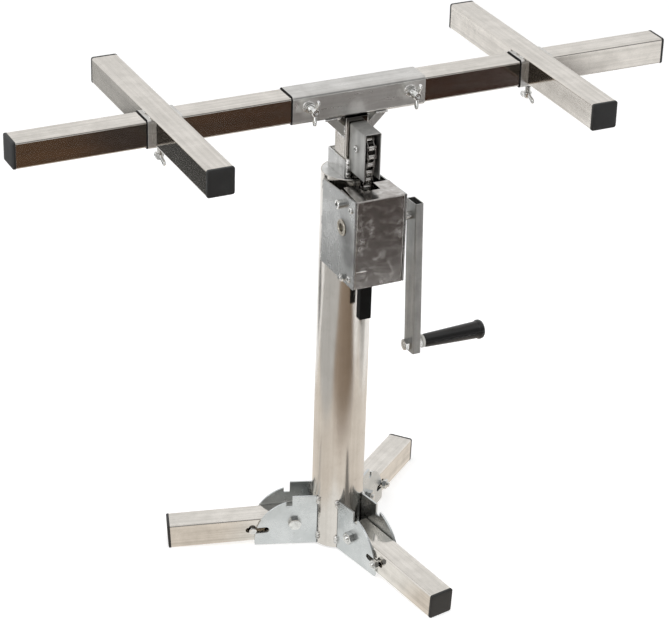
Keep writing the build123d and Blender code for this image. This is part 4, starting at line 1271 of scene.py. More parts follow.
class Bead(Tree):
    """Lays overlapping drops of weld along the edges of a mesh."""

    # Spacing of the drops and size of the skin's voxels, as shares of a bead's radius
    spacing: float = 0.85
    voxel: float = 0.28
    smallest: Point = (0.80, 0.80, 0.60)
    largest: Point = (1.15, 1.20, 0.90)

    def __init__(self) -> None:
        """Build the tree."""
        floats = dict.fromkeys(("Spacing", "Radius"), "NodeSocketFloat")
        super().__init__("bead", {**floats, "Seed": "NodeSocketInt", "Finish": "NodeSocketMaterial"})
        sheet = self.sheet
        curve = sheet.node("GeometryNodeMeshToCurve", {}, {"Mesh": self.given("Geometry")})
        inputs = {"Curve": curve, "Length": self.given("Spacing")}
        points = sheet.node("GeometryNodeCurveToPoints", {"mode": "LENGTH"}, inputs)
        inputs = {"Radius": self.given("Radius"), "Subdivisions": 3}
        drop = sheet.node("GeometryNodeMeshIcoSphere", {}, inputs)
        inputs = {0: self.smallest, 1: self.largest, 8: self.given("Seed")}
        size = sheet.node("FunctionNodeRandomValue", {"data_type": "FLOAT_VECTOR"}, inputs)
        turn = sheet.other(points, "Rotation")
        inputs = {"Points": points, "Instance": drop, "Rotation": turn, "Scale": size}
        self.close(sheet.node("GeometryNodeInstanceOnPoints", {}, inputs))

    def run(
        self, name: str, paths: Sequence[Path], radius: float, finish: bpy.types.Material
    ) -> bpy.types.Mesh:
        """Weld beads along paths, as one closed skin.

        Args:
            name: the mesh's name, whose length is the seed.
            paths: points of each path, in millimetres.
            radius: half a bead's width, in millimetres.
            finish: the beads' material.

        Returns:
            The mesh.
        """
        points: list[Vector] = []
        edges: list[tuple[int, int]] = []
        for path in paths:
            start = len(points)
            points += [point * MM for point in path]
            edges += [(start + i, start + i + 1) for i in range(len(path) - 1)]
        lines = bpy.data.meshes.new(name)
        lines.from_pydata(points, edges, [])
        sizes = {"Spacing": self.spacing * radius * MM, "Radius": radius * MM}
        work = self.applied(lines, {**sizes, "Seed": len(name), "Finish": finish})
        cover_with_voxels(work, self.voxel * radius, smoothing=2)
        return smoothed(evaluated(work, name), ALL_SMOOTH)


def line(start: Point, end: Point) -> Path:
    """Straight path in millimetres."""
    return [Vector(start), Vector(end)]


def hoop(place: Matrix, radius: float) -> Path:
    """Closed round path on a placed plane."""
    points = ring(radius, 0.0, 24)
    return [place @ point for point in points + points[:1]]


# Pieces on the frame


class Bench:
    """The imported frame, the finishes in use and the calls that set a piece on its body."""

    def __init__(self, frame: dict[str, Any]) -> None:
        """Read each node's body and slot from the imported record.

        Args:
            frame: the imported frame.
        """
        record = frame["record"]
        self.nodes = frame["nodes"]
        self.slots = {row["node"]: row["material_slot"] for row in record["subparts"]}
        self.bodies = {node: body for body, nodes in record["behaviour"]["bodies"].items() for node in nodes}
        self.scatter = Scatter()
        self.bead = Bead()
        self.bolt_finish = BOLT_ZINC.material()
        self.weld_finish = WELD_STEEL.material()
        self.cap_finish = CAP_BLACK.material()
        self.shade_rim_finish = SHADE_RIM_BLACK.material()
        self.chain_finish = CHAIN_STEEL.material()
        self.nylon_finish = NYLON.material()
        self.cap_mesh = TubeCap().form().mesh("cap")
        self.wing_mesh = WingBolt().mesh()

    def keep(
        self,
        name: str,
        mesh: bpy.types.Mesh,
        finish: bpy.types.Material,
        nodes: Sequence[str] = (),
        body: str = "",
        slot: str = "",
    ) -> None:
        """Set a finished mesh on its body.

        Args:
            name: the piece's name.
            mesh: its mesh, in place.
            finish: its material.
            nodes: the nodes that it stands for, which give its body.
            body: the body that it rides on, where it stands for no node.
            slot: its material slot, where it stands for no node; not used.
        """
        mesh.materials.clear()
        mesh.materials.append(finish)
        piece = linked(name, mesh)
        if nodes:
            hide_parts(*nodes)
            body = self.bodies[nodes[0]]
        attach(piece, body)
        LOG.info("%s on %s: %d faces", name, body, len(mesh.polygons))

    def ease(self, node: str, finish: bpy.types.Material, width: float = 0.35) -> None:
        """Replace a node by a copy with its sharp edges eased.

        Args:
            node: the node.
            finish: the copy's material.
            width: how far the easing reaches from an edge, in millimetres.
        """
        mesh = self.nodes[node].data.copy()
        flat = math.radians(FLAT_TURN)

        def clean(work: bmesh.types.BMesh) -> None:
            """Merge the loose triangles and dissolve the flat edges."""
            bmesh.ops.remove_doubles(work, verts=work.verts, dist=MERGE_GAP)
            bmesh.ops.dissolve_limit(work, angle_limit=flat, verts=work.verts, edges=work.edges)

        with_bmesh(mesh, clean)
        smoothed(mesh)
        work = linked("ease", mesh)
        bevel = work.modifiers.new("ease", "BEVEL")
        bevel.width = width * MM
        bevel.segments = 2
        bevel.limit_method = "ANGLE"
        bevel.angle_limit = math.radians(BEVEL_TURN)
        normals = work.modifiers.new("normals", "WEIGHTED_NORMAL")
        normals.keep_sharp = True
        self.keep(f"{node}_eased", evaluated(work, node), finish, [node])

    def dress(self, node: str, finish: bpy.types.Material) -> None:
        """Give a node that stays as it is a finish.

        Args:
            node: the node.
            finish: its material.
        """
        data = self.nodes[node].data
        data.materials.clear()
        data.materials.append(finish)
        LOG.info("%s dressed", node)

    def copies(
        self, node: str, template: bpy.types.Mesh, finish: bpy.types.Material, *places: Matrix
    ) -> None:
        """Replace a node by copies of a template."""
        self.keep(f"{node}_set", self.scatter.run(node, template, places, finish), finish, [node])

    def fasteners(self, node: str, template: bpy.types.Mesh, *places: Matrix) -> None:
        """Replace a node by copies of a plated nut or bolt."""
        self.copies(node, template, self.bolt_finish, *places)

    def bolts(self, node: str, bolt: Bolt, *places: Matrix) -> None:
        """Replace a node by bolts with threads and chamfered heads."""
        self.fasteners(node, bolt.form().mesh(node), *places)

    def caps(self, node: str, *places: Matrix) -> None:
        """Replace a node by moulded caps."""
        self.copies(node, self.cap_mesh, self.cap_finish, *places)

    def shade_rim(self, name: str, body: str, place: Matrix) -> None:
        """Put a black rim of painted shade into the end of a square sleeve."""
        mesh = self.scatter.run(name, ShadeRim().form().mesh(name), [place], self.shade_rim_finish)
        self.keep(name, mesh, self.shade_rim_finish, body=body, slot="cap_black")

    def weld(self, name: str, body: str, paths: Sequence[Path], radius: float = 1.6) -> None:
        """Lay weld beads on a body."""
        mesh = self.bead.run(name, paths, radius, self.weld_finish)
        self.keep(name, mesh, self.weld_finish, body=body, slot="sleeve_steel")


# Sub-assemblies


@dataclass(frozen=True)
class Mast:
    """Round mast with its top plate and the guide for the lifting tube."""

    radius: float = MAST_R
    wall: float = 1.5
    bottom: float = 3.0
    top: float = 603.0
    rim: float = 0.4
    facets: int = 160

    def build(self, bench: Bench) -> None:
        """Build and dress the mast.

        Args:
            bench: sets the pieces on their bodies.
        """
        bench.keep("mast_polished", self._tube(), MAST_STEEL.material(Along.Z.value), ["mast_tube"])
        upright = GUIDE_STEEL.material(Along.Z.value)
        bench.ease("guide_sleeve", upright)
        bench.ease("mast_top_plate", upright)
        bench.dress("guide_pad", bench.nylon_finish)

    def _tube(self) -> bpy.types.Mesh:
        """Make the tube, with eased rims.

        Returns:
            Its mesh.
        """
        outside = eased(self.radius, self.bottom, self.top, (self.rim, self.rim))
        inside = eased(self.radius - self.wall, self.top, self.bottom, (-self.rim, -self.rim))
        return turned(outside + inside, self.facets, loop=True).mesh("mast_tube")


@dataclass(frozen=True)
class Tripod:
    """Three folding legs between fan plates, with their pivot bolts, lock bolts and caps."""

    azimuths: tuple[float, ...] = (160.7, 280.7, 40.7)
    droop: float = 3.5
    pivot_r: float = 65.0
    pivot_z: float = 39.256
    pivot_rise: float = 8.5
    tube_end: float = 184.5
    lock_rest: float = 62.759
    lock_out: float = 22.8
    fan_out: float = 22.4
    tack_out: float = 23.4
    tacks: tuple[Pair, ...] = ((13.0, 21.0), (74.0, 82.0))
    tack_bead: float = 3.6

    pivot: Bolt = Bolt(
        Head.HEX, radius=5.0, across=17.0, height=6.5, grip=44.8, nut_across=17.0, nut_height=8.0, pitch=1.5
    )
    lock: Bolt = Bolt(
        Head.ROUND, radius=4.0, across=11.0, height=1.2, grip=45.6, nut_across=13.0, nut_height=6.5
    )

    def build(self, bench: Bench) -> None:
        """Build and dress the tripod.

        Args:
            bench: sets the pieces on their bodies.
        """
        bench.ease("fan_plates", FAN_ZINC.material())
        legs = [self._frame(azimuth) for azimuth in self.azimuths]
        on_side = placed((0.0, self.fan_out, 0.0), FRONT, RIGHT)
        bench.bolts("leg_pivot_bolts", self.pivot, *(leg @ on_side for leg in legs))
        tip = placed((self.tube_end, 0.0, -self.pivot_rise), RIGHT, BACK)
        seat = placed((self.lock_rest, self.lock_out, -self.pivot_rise), FRONT, RIGHT)
        for number, (azimuth, leg) in enumerate(zip(self.azimuths, legs), 1):
            centre = tuple(leg @ Vector((0.0, 0.0, -self.pivot_rise)))
            lie = Lie(centre, (0.0, self.droop, azimuth))
            bench.ease(f"leg_tube_{number}", LEG_STEEL.material(lie, f"_{number}"))
            bench.caps(f"leg_cap_{number}", leg @ tip)
            bench.bolts(f"leg_lock_{number}", self.lock, leg @ seat)
        bench.weld("fan_welds", "base", self._tacks(), self.tack_bead)

    def _frame(self, azimuth: float) -> Matrix:
        """Set up a leg's own frame, at its pivot.

        Args:
            azimuth: the leg's direction, in degrees.

        Returns:
            The matrix from that frame to the jack.
        """
        turn = Matrix.Rotation(math.radians(azimuth), 4, "Z")
        lean = Matrix.Rotation(math.radians(self.droop), 4, "Y")
        return turn @ Matrix.Translation((self.pivot_r, 0.0, self.pivot_z)) @ lean

    def _tacks(self) -> list[Path]:
        """Tack welds at the top and bottom of each fan plate, against the mast.

        Returns:
            Their paths.
        """
        paths = []
        root = math.sqrt(MAST_R**2 - self.fan_out**2)
        for azimuth in self.azimuths:
            turn = Matrix.Rotation(math.radians(azimuth), 4, "Z")
            for y in (-self.tack_out, self.tack_out):
                for low, high in self.tacks:
                    paths.append([turn @ point for point in line((root, y, low), (root, y, high))])
        return paths


@dataclass(frozen=True)
class Winch:
    """Winch housing before the mast: side plates, cover, screws, bushes and tie bolts.

    Places on a side plate are given by y and z.
    """

    plate_out: float = 39.5
    plate_foot: float = 470.0
    plate_back_top: float = 596.0
    plate_ease: float = 0.3
    cover_ease: float = 0.25
    screw_y: float = -92.0
    screw_z: Pair = (481.5, 585.8)
    pawl_place: Pair = (-63.2, 584.1)
    guide_place: Pair = (-73.3, 476.6)
    shaft_place: Pair = (-65.3, 549.0)
    tack: float = 11.0
    tack_shares: tuple[float, ...] = (0.01, 0.5, 0.97)
    tack_x: float = 38.7
    tack_y: float = -2.2
    # A thin sliver on the cover's front, in the bright weld finish: a painted highlight
    sliver: Point = (-35.5, -104.0, 496.0)
    sliver_length: float = 16.5
    sliver_half: Pair = (0.9, 1.2)
    sliver_stations: tuple[Pair, ...] = ((0.0, 0.2), (0.06, 0.8), (0.5, 1.0), (0.94, 0.7), (1.0, 0.2))
    bush_profile: tuple[Pair, ...] = (
        (6.1, -9.0), (10.5, -9.0), (10.5, -4.5), (12.5, -4.5), (12.5, -2.5), (10.5, -2.5), (10.5, 0.0),
        (12.0, 0.1), (12.0, 1.0), (11.4, 1.6), (9.8, 1.6), (9.2, 0.8), (7.6, 0.8), (7.0, 1.2), (6.1, 1.2),
    )

    screw: Bolt = Bolt(Head.PAN, radius=2.5, across=9.2, height=2.4, grip=9.0, tail=0.0, pitch=0.8)
    pawl_screw: Bolt = Bolt(
        Head.SOCKET, radius=4.0, across=13.0, height=8.0, grip=79.0, nut_across=13.0, nut_height=6.5
    )
    guide_bolt: Bolt = Bolt(
        Head.HEX, radius=3.0, across=10.0, height=4.0, grip=79.0, nut_across=10.0, nut_height=4.0, pitch=1.0
    )

    def build(self, bench: Bench) -> None:
        """Build and dress the winch housing.

        Args:
            bench: sets the pieces on their bodies.
        """
        for side, _ in SIDES:
            finish = PLATE_ZINC.material(Along.Z.value, f"_{side}")
            bench.ease(f"gearbox_plate_{side}", finish, self.plate_ease)
        bench.ease("gearbox_cover", COVER_ZINC.material(), self.cover_ease)
        slot = bench.slots["gearbox_cover"]
        # Painted highlight: a thin bright sliver on the cover's front
        bench.keep("cover_lance", self._highlight_sliver(), bench.weld_finish, body="base", slot=slot)
        bush = turned(self.bush_profile, sides=64, loop=True).mesh("shaft_bush")
        ends = [placed((sign * self.plate_out, *self.shaft_place), sideways(sign), BACK) for _, sign in SIDES]
        bench.copies("shaft_bushes", bush, BRONZE.material(), *ends)
        bench.bolts("cover_screws", self.screw, *self._screws())
        left = placed((-self.plate_out, *self.pawl_place), RIGHT, BACK)
        bench.bolts("pawl_screw", self.pawl_screw, left)
        right = placed((self.plate_out, *self.guide_place), LEFT, BACK)
        bench.bolts("chain_guide_bolt", self.guide_bolt, right)
        bench.dress("chain_guide_spacer", bench.bolt_finish)
        bench.dress("chain_shoe", PLATE_ZINC.material(Along.Z.value, "_shoe"))
        bench.weld("plate_welds", "base", self._tacks())

    def _screws(self) -> list[Matrix]:
        """Places of the cover's screws, each recess turned by one radian more than the last.

        Returns:
            The places.
        """
        spots = [(sign, z) for _, sign in SIDES for z in self.screw_z]
        places = []
        for turn, (sign, z) in enumerate(spots):
            recess = (0.0, math.cos(turn), math.sin(turn))
            places.append(placed((sign * self.plate_out, self.screw_y, z), sideways(-sign), recess))
        return places

    def _highlight_sliver(self) -> bpy.types.Mesh:
        """Make the thin sliver proud of the cover's front, which the bright weld finish turns into a painted
        highlight.

        Returns:
            Its mesh.
        """
        x, y, z = self.sliver
        deep, tall = self.sliver_half
        rings = []
        for share, size in self.sliver_stations:
            place = placed((x + share * self.sliver_length, y, z), RIGHT, FRONT)
            points = ring(1.0, 0.0, 12)
            rings.append([place @ Vector((deep * size * p.x, tall * size * p.y, 0.0)) for p in points])
        return loft(rings).mesh("cover_lance")

    def _tacks(self) -> list[Path]:
        """Tack welds between the plates' back edges and the mast.

        Returns:
            Their paths.
        """
        span = self.plate_back_top - self.plate_foot - self.tack
        paths = []
        for _, sign in SIDES:
            for share in self.tack_shares:
                low = self.plate_foot + share * span
                x = sign * self.tack_x
                paths.append(line((x, self.tack_y, low), (x, self.tack_y, low + self.tack)))
        return paths


@dataclass(frozen=True)
class ChainDrive:
    """Roller chain over its top idler, the chain box and the sleeve on the chain's free end."""

    pitch: float = 12.7
    roller_r: float = 3.95
    roller_ease: float = 0.3
    roller_gap: float = 0.1
    inner_half: float = 3.95
    plate_t: float = 1.5
    plate_gap: float = 0.05
    plate_half: float = 5.2
    plate_ease: float = 0.25
    waist_half: float = 4.1
    rivet_r: float = 1.9
    rivet: float = 0.9
    rivet_ease: float = 0.45
    box_half: float = 12.5
    box_ease: float = 0.3
    sleeve_ease: float = 0.5
    sprocket_ease: float = 0.25
    idler: Pair = (-48.566, 655.0)
    seam_x: float = 14.7
    seam_y: float = -28.5
    seam_z: Pair = (606.5, 629.5)
    seam_bead: float = 3.8

    axle: Bolt = Bolt(
        Head.SOCKET, radius=4.0, across=11.0, height=2.2, grip=25.0, nut_across=13.0, nut_height=6.5
    )

    def build(self, bench: Bench) -> None:
        """Build and dress the chain and what guides it.

        Args:
            bench: sets the pieces on their bodies.
        """
        links = {"chain_roller_links": self._roller_link(), "chain_pin_links": self._pin_link()}
        for node, link in links.items():
            places = self._places(bench.nodes[node])
            bench.copies(node, link.mesh(node), bench.chain_finish, *places)
        bench.ease("chain_box", BOX_STEEL.material(Along.Z.value), self.box_ease)
        bench.bolts("idler_axle", self.axle, placed((-self.box_half, *self.idler), RIGHT, BACK))
        bench.ease("chain_end_sleeve", SLEEVE_BLACK.material(), self.sleeve_ease)
        bench.ease("idler_sprocket", SPROCKET_STEEL.material(), self.sprocket_ease)
        bench.dress("chain_lug", SLEEVE_STEEL.material(Along.Z.value, "_lug"))
        low, high = self.seam_z
        seams = [line((x, self.seam_y, low), (x, self.seam_y, high)) for x in (-self.seam_x, self.seam_x)]
        bench.weld("chain_box_welds", "base", seams, self.seam_bead)

    def _plate(self, low: float) -> Form:
        """Make a link plate with a drawn-in waist, its length along x.

        Args:
            low: the height that it starts from.

        Returns:
            The plate.
        """
        reach, half, ease = self.pitch / 2.0, self.plate_half, self.plate_ease
        outline = []
        for sign in (1, -1):
            for angle in (-70.0, -35.0, 0.0, 35.0, 70.0):
                turn = math.radians(angle)
                outline.append((sign * (reach + half * math.cos(turn)), sign * half * math.sin(turn)))
            outline.append((0.0, sign * self.waist_half))
        rings = []
        for z, inset in ((0.0, ease), (ease, 0.0), (self.plate_t - ease, 0.0), (self.plate_t, ease)):
            share = 1.0 - inset / half
            rings.append([Vector((x * share, y * share, low + z)) for x, y in outline])
        return loft(rings)

    def _link(self, start: float, barrel: Form) -> Form:
        """Make a link with its pins' direction along z.

        Args:
            start: how far from the middle its plates begin.
            barrel: the roller or pin that it has two of.

        Returns:
            The link.
        """
        made = self._plate(start).add(self._plate(-start - self.plate_t))
        for sign in (-1, 1):
            made.add(barrel, Matrix.Translation((sign * self.pitch / 2.0, 0.0, 0.0)))
        return made

    def _roller_link(self) -> Form:
        """Make a link of two inner plates and two rollers.

        Returns:
            The link.
        """
        half = self.inner_half - self.roller_gap
        rims = (self.roller_ease, self.roller_ease)
        return self._link(self.inner_half, turned(eased(self.roller_r, -half, half, rims), sides=20))

    def _pin_link(self) -> Form:
        """Make a link of two outer plates and two riveted pins.

        Returns:
            The link.
        """
        start = self.inner_half + self.plate_t + self.plate_gap
        end = start + self.plate_t + self.rivet
        rims = (0.5 * self.rivet_r, self.rivet_ease)
        return self._link(start, turned(eased(self.rivet_r, -end, end, rims), sides=14))

    def _places(self, node: bpy.types.Object) -> list[Matrix]:
        """Where each link of a chain node lies, read from the node's separate solids.

        Args:
            node: the node.

        Returns:
            A matrix for each link, in millimetres; a pin link's left plate is passed over.
        """
        work = bmesh.new()
        work.from_mesh(node.data)
        bmesh.ops.remove_doubles(work, verts=work.verts, dist=MERGE_GAP)
        left = set(work.verts)
        places = []
        for start in list(work.verts):
            if start not in left:
                continue
            left.discard(start)
            island = [start]
            for vert in island:
                for edge in vert.link_edges:
                    other = edge.other_vert(vert)
                    if other in left:
                        left.discard(other)
                        island.append(other)
            place = self._link_place([vert.co / MM for vert in island])
            if place:
                places.append(place)
        work.free()
        return places

    @staticmethod
    def _link_place(cloud: list[Vector]) -> Matrix | None:
        """Where one link lies.

        Args:
            cloud: its points, in millimetres.

        Returns:
            Its matrix, or None for a left-hand plate.
        """
        low = Vector([min(point[i] for point in cloud) for i in range(3)])
        high = Vector([max(point[i] for point in cloud) for i in range(3)])
        centre = (low + high) / 2.0
        if centre.x < -1.0:
            return None
        yy = sum((point.y - centre.y) ** 2 for point in cloud)
        zz = sum((point.z - centre.z) ** 2 for point in cloud)
        yz = sum((point.y - centre.y) * (point.z - centre.z) for point in cloud)
        slant = 0.5 * math.atan2(2.0 * yz, yy - zz)
        return placed((0.0, centre.y, centre.z), RIGHT, (0.0, math.cos(slant), math.sin(slant)))


@dataclass(frozen=True)
class Crank:
    """Crank shaft with its sprocket and ratchet, the crank arm, its handle bolt and the grip.

    The handle's place on the arm is given by y and z.
    """

    arm_x: float = 67.0
    shaft_ease: float = 0.6
    handle: Pair = (-75.37, 350.25)
    spacer_x: float = 86.5
    spacer_r: float = 9.5
    spacer_width: float = 4.0
    spacer_ease: float = 0.5
    grip_x: float = 90.8
    grip_bore: float = 5.1
    grip_depth: float = 80.0
    grip_mouth: float = 0.3
    grip_profile: tuple[Pair, ...] = (
        (8.5, 0.0), (9.0, 0.5), (9.8, 3.0), (11.8, 60.0), (12.45, 84.8), (12.8, 85.8),
        (13.7, 86.6), (14.15, 87.8), (14.2, 89.5), (13.9, 91.6), (13.1, 93.2), (11.8, 94.4),
        (10.0, 95.0), (8.6, 94.9), (7.8, 94.4), (0.8, 94.2),
    )

    bolt: Bolt = Bolt(
        Head.HEX, radius=5.0, across=16.0, height=8.0, grip=13.0,
        nut_across=16.0, nut_height=6.5, tail=14.0, pitch=1.5,
    )

    def build(self, bench: Bench) -> None:
        """Build and dress the crank.

        Args:
            bench: sets the pieces on their bodies.
        """
        bench.ease("crank_arm", ARM_STEEL.material(Along.Z.value))
        bench.ease("crank_shaft", SHAFT_STEEL.material(), self.shaft_ease)
        for node in ("drive_sprocket", "ratchet_wheel", "ratchet_pawl"):
            bench.dress(node, bench.chain_finish)
        bench.bolts("handle_bolt", self.bolt, self._on_handle(self.arm_x))
        bore = [(self.grip_bore, self.grip_depth), (self.grip_bore, self.grip_mouth)]
        grip = Form().add(turned([*bore, *self.grip_profile], sides=96), self._on_handle(self.grip_x))
        bench.keep("grip_moulded", grip.mesh("crank_grip"), GRIP_BLACK.material(), ["crank_grip"])
        outside = eased(self.spacer_r, 0.0, self.spacer_width, (self.spacer_ease, self.spacer_ease))
        profile = [(self.grip_bore, 0.0), *outside, (self.grip_bore, self.spacer_width)]
        spacer = Form().add(turned(profile, sides=64, loop=True), self._on_handle(self.spacer_x))
        mesh = spacer.mesh("handle_spacer")
        bench.keep("handle_spacer", mesh, bench.nylon_finish, body="crank", slot="nylon_white")

    def _on_handle(self, x: float) -> Matrix:
        """Place on the handle's axis, facing outwards."""
        return placed((x, *self.handle), RIGHT, UP)


@dataclass(frozen=True)
class LoadHead:
    """Lifting tube, beam sleeve with its gussets, beam tubes, cross-arms and the wing bolts that hold them.

    The hoops of weld round the nuts are shares of a nut's size.
    """

    tube_half: float = 17.5
    tube_front: float = -24.5
    tube_back: float = 10.5
    gusset_leg: float = 29.0
    gusset_clip: float = 12.5
    gusset_y: Pair = (-21.0, -1.0)
    gusset_ease: float = 0.5
    seam_gap: float = 2.0
    beam_end: float = 488.0
    sleeve_left: float = -96.5
    heat_rise: float = 10.0
    arm_end: float = 201.0
    arm_z: float = 718.4
    arm_seams: tuple[Pair, ...] = ((-14.0, -4.0), (4.0, 14.0))
    arm_bead: float = 1.2
    arm_hoop: float = 0.56
    wing_x: Pair = (-73.5, 80.5)
    wing_rise: float = 4.0
    wing_lean: float = 9.0
    wing_out: float = 16.0
    nut_across: float = 13.0
    nut_height: float = 6.5
    nut_bore: float = 4.0
    nut_bead: float = 1.7
    nut_hoop: float = 0.58
    collar_half: float = 25.0

    def build(self, bench: Bench) -> None:
        """Build and dress the load head.

        Args:
            bench: sets the pieces on their bodies.
        """
        middle = (self.tube_front + self.tube_back) / 2.0
        upright = replace(Along.Z.value, centre=(0.0, middle, 0.0))
        bench.ease("inner_tube", LIFT_STEEL.material(upright))
        bench.dress("foot_glide", bench.nylon_finish)
        bench.ease("head_gussets", SLEEVE_STEEL.material(Along.Z.value, "_gusset"), self.gusset_ease)
        seats = [self._beam_seat(x, 0.0) for x in self.wing_x]
        over_tube = (0.0, -SLEEVE_HALF, SLEEVE_BOTTOM + self.heat_rise)
        heat_and_shade = (*(tuple(seat.translation) for seat in seats), over_tube)
        bench.ease("beam_sleeve", replace(SLEEVE_STEEL, name="heated_sleeve", heat_and_shade=heat_and_shade).material())
        # Painted shade: a black rim at the sleeve's left end
        bench.shade_rim("sleeve_liner", "lift", self._sleeve_end(self.sleeve_left))
        nut_mesh = nut(self.nut_across, self.nut_height, self.nut_bore).mesh("lock_nut")
        bench.fasteners("beam_lock_nuts", nut_mesh, *seats)
        beam = TUBE_STEEL.material(Lie((0.0, 0.0, BEAM_Z)), "_beam")
        for (side, sign), wing_x in zip(SIDES, self.wing_x):
            bench.ease(f"beam_tube_{side}", beam)
            end = placed((sign * self.beam_end, 0.0, BEAM_Z), sideways(sign), BACK)
            bench.caps(f"beam_cap_{side}", end)
            hub = self._beam_seat(wing_x, self.wing_out)
            bench.fasteners(f"beam_wing_bolt_{side}", bench.wing_mesh, hub)
            self._cross_arm(bench, side, sign, nut_mesh)
        bench.weld("head_welds", "lift", self._head_welds())
        hoops = [hoop(seat, self.nut_hoop * self.nut_across) for seat in seats]
        bench.weld("nut_welds", "lift", hoops, self.nut_bead)

    def _cross_arm(self, bench: Bench, side: str, sign: int, nut_mesh: bpy.types.Mesh) -> None:
        """Cross-arm on its collar, with caps, nut, wing bolt and welds.

        Args:
            bench: sets the pieces on their bodies.
            side: left or right.
            sign: -1 or 1.
            nut_mesh: the lock nut.
        """
        x = sign * ARM_X
        lie = replace(Along.Y.value, centre=(x, 0.0, self.arm_z))
        bench.ease(f"crossarm_{side}", TUBE_STEEL.material(lie, f"_arm_{side}"))
        bench.ease(f"crossarm_collar_{side}", SLEEVE_STEEL.material(Along.X.value, f"_collar_{side}"))
        # Painted shade: a black rim at the collar's left end
        bench.shade_rim(f"collar_liner_{side}", f"arm_{side}", self._sleeve_end(x - self.collar_half))
        front = placed((x, -self.arm_end, self.arm_z), FRONT, RIGHT)
        back = placed((x, self.arm_end, self.arm_z), BACK, RIGHT)
        bench.caps(f"crossarm_caps_{side}", front, back)
        seat = placed((x, 0.0, SLEEVE_BOTTOM), DOWN, BACK)
        bench.fasteners(f"collar_nut_{side}", nut_mesh, seat)
        hub = placed((x, 0.0, SLEEVE_BOTTOM - self.wing_out), DOWN, BACK)
        bench.fasteners(f"collar_wing_bolt_{side}", bench.wing_mesh, hub)
        top = BEAM_Z + SLEEVE_HALF
        paths = [hoop(seat, self.arm_hoop * self.nut_across)]
        for wall in (x - TUBE_HALF, x + TUBE_HALF):
            paths += [line((wall, start, top), (wall, end, top)) for start, end in self.arm_seams]
        bench.weld(f"arm_welds_{side}", f"arm_{side}", paths, self.arm_bead)

    @staticmethod
    def _sleeve_end(x: float) -> Matrix:
        """Place of the black rim of painted shade at the left end of a sleeve round the beam."""
        return placed((x, 0.0, BEAM_Z), LEFT, BACK)

    def _beam_seat(self, x: float, out: float) -> Matrix:
        """Place on the front of the beam sleeve for a nut or a wing bolt.

        Args:
            x: its place along the beam.
            out: how far it stands out.

        Returns:
            The place.
        """
        lean = math.radians(self.wing_lean)
        origin = (x, -SLEEVE_HALF - out, BEAM_Z + self.wing_rise)
        return placed(origin, FRONT, (math.sin(lean), 0.0, math.cos(lean)))

    def _head_welds(self) -> list[Path]:
        """Seams of the gussets and of the lifting tube under the sleeve.

        Returns:
            Their paths.
        """
        paths = []
        top = SLEEVE_BOTTOM
        low = top - self.gusset_leg
        clip = top - self.gusset_clip
        front, back = self.gusset_y
        for _, sign in SIDES:
            tube = sign * self.tube_half
            near = tube + sign * self.gusset_clip
            far = tube + sign * self.gusset_leg
            for y in (front, back):
                paths.append(line((near, y, top), (far, y, top)))
                paths.append(line((tube, y, low), (tube, y, clip)))
            paths.append(line((tube, front, low), (tube, back, low)))
            paths.append(line((tube, back + self.seam_gap, top), (tube, self.tube_back, top)))
        paths.append(line((-self.tube_half, self.tube_back, top), (self.tube_half, self.tube_back, top)))
        return paths


# Studio


@dataclass(frozen=True)
class Card:
    """A level card that the steel mirrors, in metres.

    Its colour runs from start to end along its width, and the edges fade over the share that soft gives.
    """

    name: str
    centre: Pair
    half: Pair
    start: Colour
    end: Colour | None = None
    turn: float = 0.0
    soft: float = 0.3

    @property
    def span(self) -> float:
        """Half the side of a square that holds the card at any turn."""
        return math.hypot(*self.half)


# Cards from the lowest to the highest
CARDS = (
    Card("near_mat", (0.0, 0.0), (0.62, 0.62), (0.86, 0.80, 0.73), soft=0.35),
    Card("foot_pale", (-0.04, -0.07), (0.15, 0.15), (0.98, 0.98, 0.96), soft=0.5),
    Card("left_grey", (-1.06, -0.20), (0.70, 0.75), (0.60, 0.60, 0.59), soft=0.15),
    Card("right_grey", (0.95, -0.45), (0.53, 0.42), (0.56, 0.56, 0.55), soft=0.4),
    Card("mast_brown", (-0.28, -0.95), (0.50, 0.74), (0.36, 0.285, 0.22), (0.24, 0.18, 0.13), -16.6, 0.32),
    Card("front_dark", (-0.60, -1.66), (0.85, 0.50), (0.05, 0.045, 0.04), (0.02, 0.015, 0.012), soft=0.2),
    Card("beam_dark", (0.55, -1.66), (0.80, 0.56), (0.115, 0.068, 0.040), (0.034, 0.016, 0.012), soft=0.2),
    Card("cover_dark", (0.50, -1.10), (0.36, 0.32), (0.09, 0.075, 0.07), soft=0.4),
    Card("arm_grey", (-1.66, 1.86), (0.90, 0.40), (0.52, 0.52, 0.51), soft=0.12),
    Card("arm_dark", (-1.64, 1.12), (0.90, 0.48), (0.067, 0.067, 0.065), soft=0.08),
    Card("side_grey", (-0.38, 0.76), (0.26, 0.26), (0.22, 0.22, 0.215), soft=0.7),
    Card("arm_pale", (-0.62, 1.36), (0.11, 0.20), (0.80, 0.79, 0.78), soft=0.5),
    Card("beam_shade", (0.25, -1.53), (0.14, 0.30), (0.033, 0.029, 0.028), soft=0.8),
)


@dataclass(frozen=True)
class Lamp:
    """A soft square lamp: its place, what it is aimed at, its side in metres and its power in watts."""

    name: str
    place: Point
    aim: Point
    side: float
    power: float
    mirrored: bool = True


LAMPS = (
    Lamp("top_lamp", (-0.6, -0.5, 3.2), (0.0, 0.0, 0.4), side=2.4, power=42.0, mirrored=False),
    Lamp("left_lamp", (-2.6, -1.2, 1.8), (0.0, 0.0, 0.5), side=1.6, power=16.0),
)


